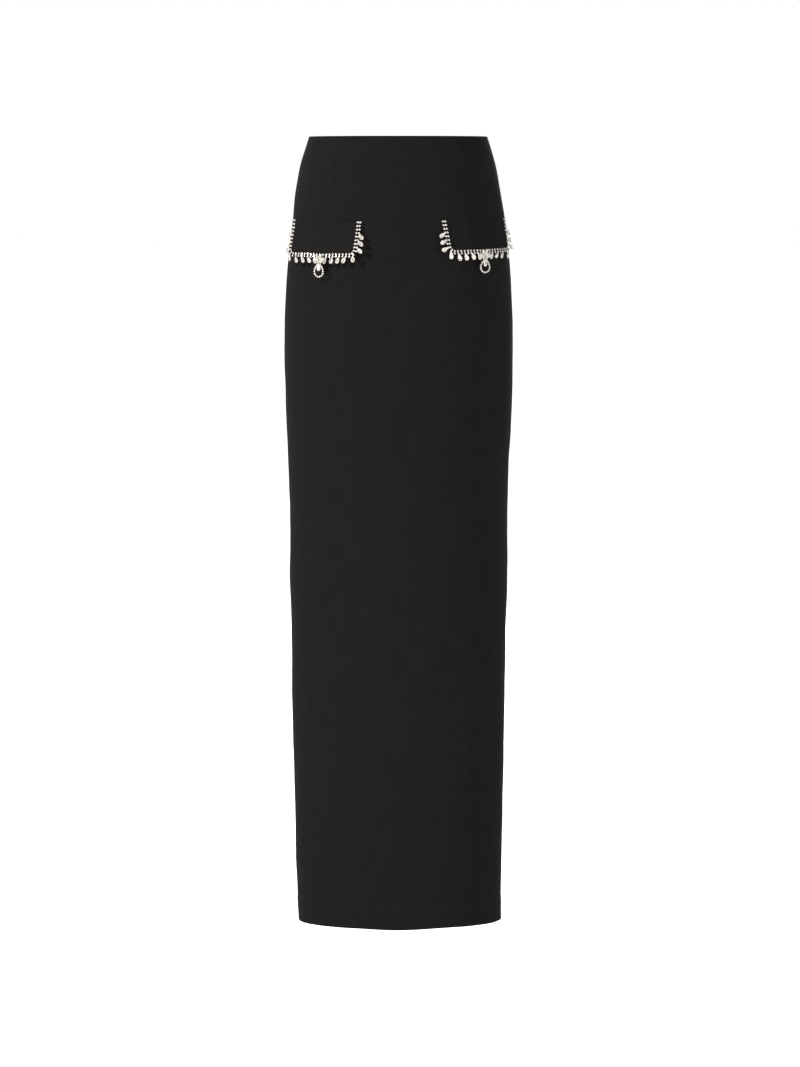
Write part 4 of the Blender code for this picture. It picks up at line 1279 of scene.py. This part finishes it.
def softened(node, name, body):
    # a CAD node's own form with its edges rounded off
    shape = bmesh.new()
    shape.from_mesh(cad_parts[node].data)
    bmesh.ops.remove_doubles(shape, verts=shape.verts, dist=0.01 * mm)
    bmesh.ops.dissolve_limit(shape, angle_limit=math.radians(4), verts=shape.verts, edges=shape.edges)
    sharp = [edge for edge in shape.edges if edge.calc_face_angle(0.0) > math.radians(40)]
    bmesh.ops.bevel(
        shape, geom=sharp, offset=zipSizes["bevel"], offset_type="OFFSET", segments=2, profile=0.5,
        affect="EDGES", clamp_overlap=True, material=-1,
    )
    mesh = asMesh(shape, name)
    mesh.materials.clear()
    standFor(newObject(name, mesh, blackEnamel), body, node)


softened("zip_slider", "zipSlider", "skirt")
softened("zip_pull", "zipPull", "zip_pull")
print("zip made")


# The studio

studio = {
    "floorZ": -1.14,
    "floorColour": (0.86, 0.86, 0.85),
    "floorShade": 0.985,
    "floorShader": {
        "Roughness": 0.7,
        "Specular IOR Level": 0.2,
        "Emission Color": (1, 1, 1, 1),
        "Emission Strength": 1.0,
    },
    "below": 0.28,  # what the floor gives back to the cloth
    "horizon": 1.0,
    "dome": 0.2,
    "lights": {  # place, width, height, power
        "key": (-5.45, -2.9, 2.9, 1.2, 1.4, 440.0),
        "fill": (3.1, -2.5, -0.6, 1.8, 2.2, 72.0),
        "bounce": (-0.2, -1.2, -0.85, 2.6, 0.35, 5.6),
        "back": (0.7, 4.6, 0.9, 2.4, 2.4, 150.0),
    },
    "aim": (0.0, 0.0, -0.5),
    "camera": (-0.3012, -7.2263, 0.095),
    "cameraAim": (0.0017, 0.0, -0.5343),
    "lens": 175,
}


def makeFloor():
    shape = bmesh.new()
    bmesh.ops.create_grid(shape, x_segments=8, y_segments=8, size=30.0)
    bmesh.ops.translate(shape, verts=shape.verts, vec=(0, 0, studio["floorZ"]))
    material, tree, shader = newMaterial("paleFloor", **studio["floorShader"])
    place = addNode(tree, "TexCoord").outputs["Object"]
    cloud = noiseNode(tree, place, 3.0, 3.0)
    dark = tuple(c * studio["floorShade"] for c in studio["floorColour"])
    colour = rampNode(tree, cloud, (0.35, dark), (0.65, studio["floorColour"]))
    tree.links.new(colour, shader.inputs["Base Color"])
    floor = newObject("floor", asMesh(shape, "floor"), material)
    floor.visible_diffuse = floor.visible_glossy = False


def addAimed(name, data, place, aim):
    made = addObject(name, data)
    made.location = place
    made.rotation_euler = (Vector(aim) - made.location).to_track_quat("-Z", "Y").to_euler()
    return made


def makeLight(name, x, y, z, width, height, power):
    data = bpy.data.lights.new(name, "AREA")
    data.shape = "RECTANGLE"
    data.size, data.size_y, data.energy = width, height, power
    addAimed(name, data, (x, y, z), studio["aim"]).visible_camera = False


def makeWorld():
    # white at the horizon, dimmer overhead and below it
    world = bpy.data.worlds.new("studio")
    bpy.context.scene.world = world
    world.use_nodes = True
    tree = world.node_tree
    aim = addNode(tree, "TexCoord").outputs["Generated"]
    height = addNode(tree, "SeparateXYZ", {"Vector": aim}).outputs["Z"]
    raised = mathNode(tree, "MULTIPLY_ADD", height, 0.5, 0.5)
    stops = zip((0.42, 0.47, 0.56, 0.64), (studio[key] for key in ("below", "horizon", "horizon", "dome")))
    colour = rampNode(tree, raised, *stops)
    tree.links.new(colour, tree.nodes["Background"].inputs["Color"])


makeFloor()
for name, values in studio["lights"].items():
    makeLight(name, *values)
makeWorld()
cameraData = bpy.data.cameras.new("camera")
cameraData.lens = studio["lens"]
camera = addAimed("camera", cameraData, studio["camera"], studio["cameraAim"])
bpy.context.scene.camera = camera
bpy.context.scene.view_settings.view_transform = "Standard"

print("scene ready")
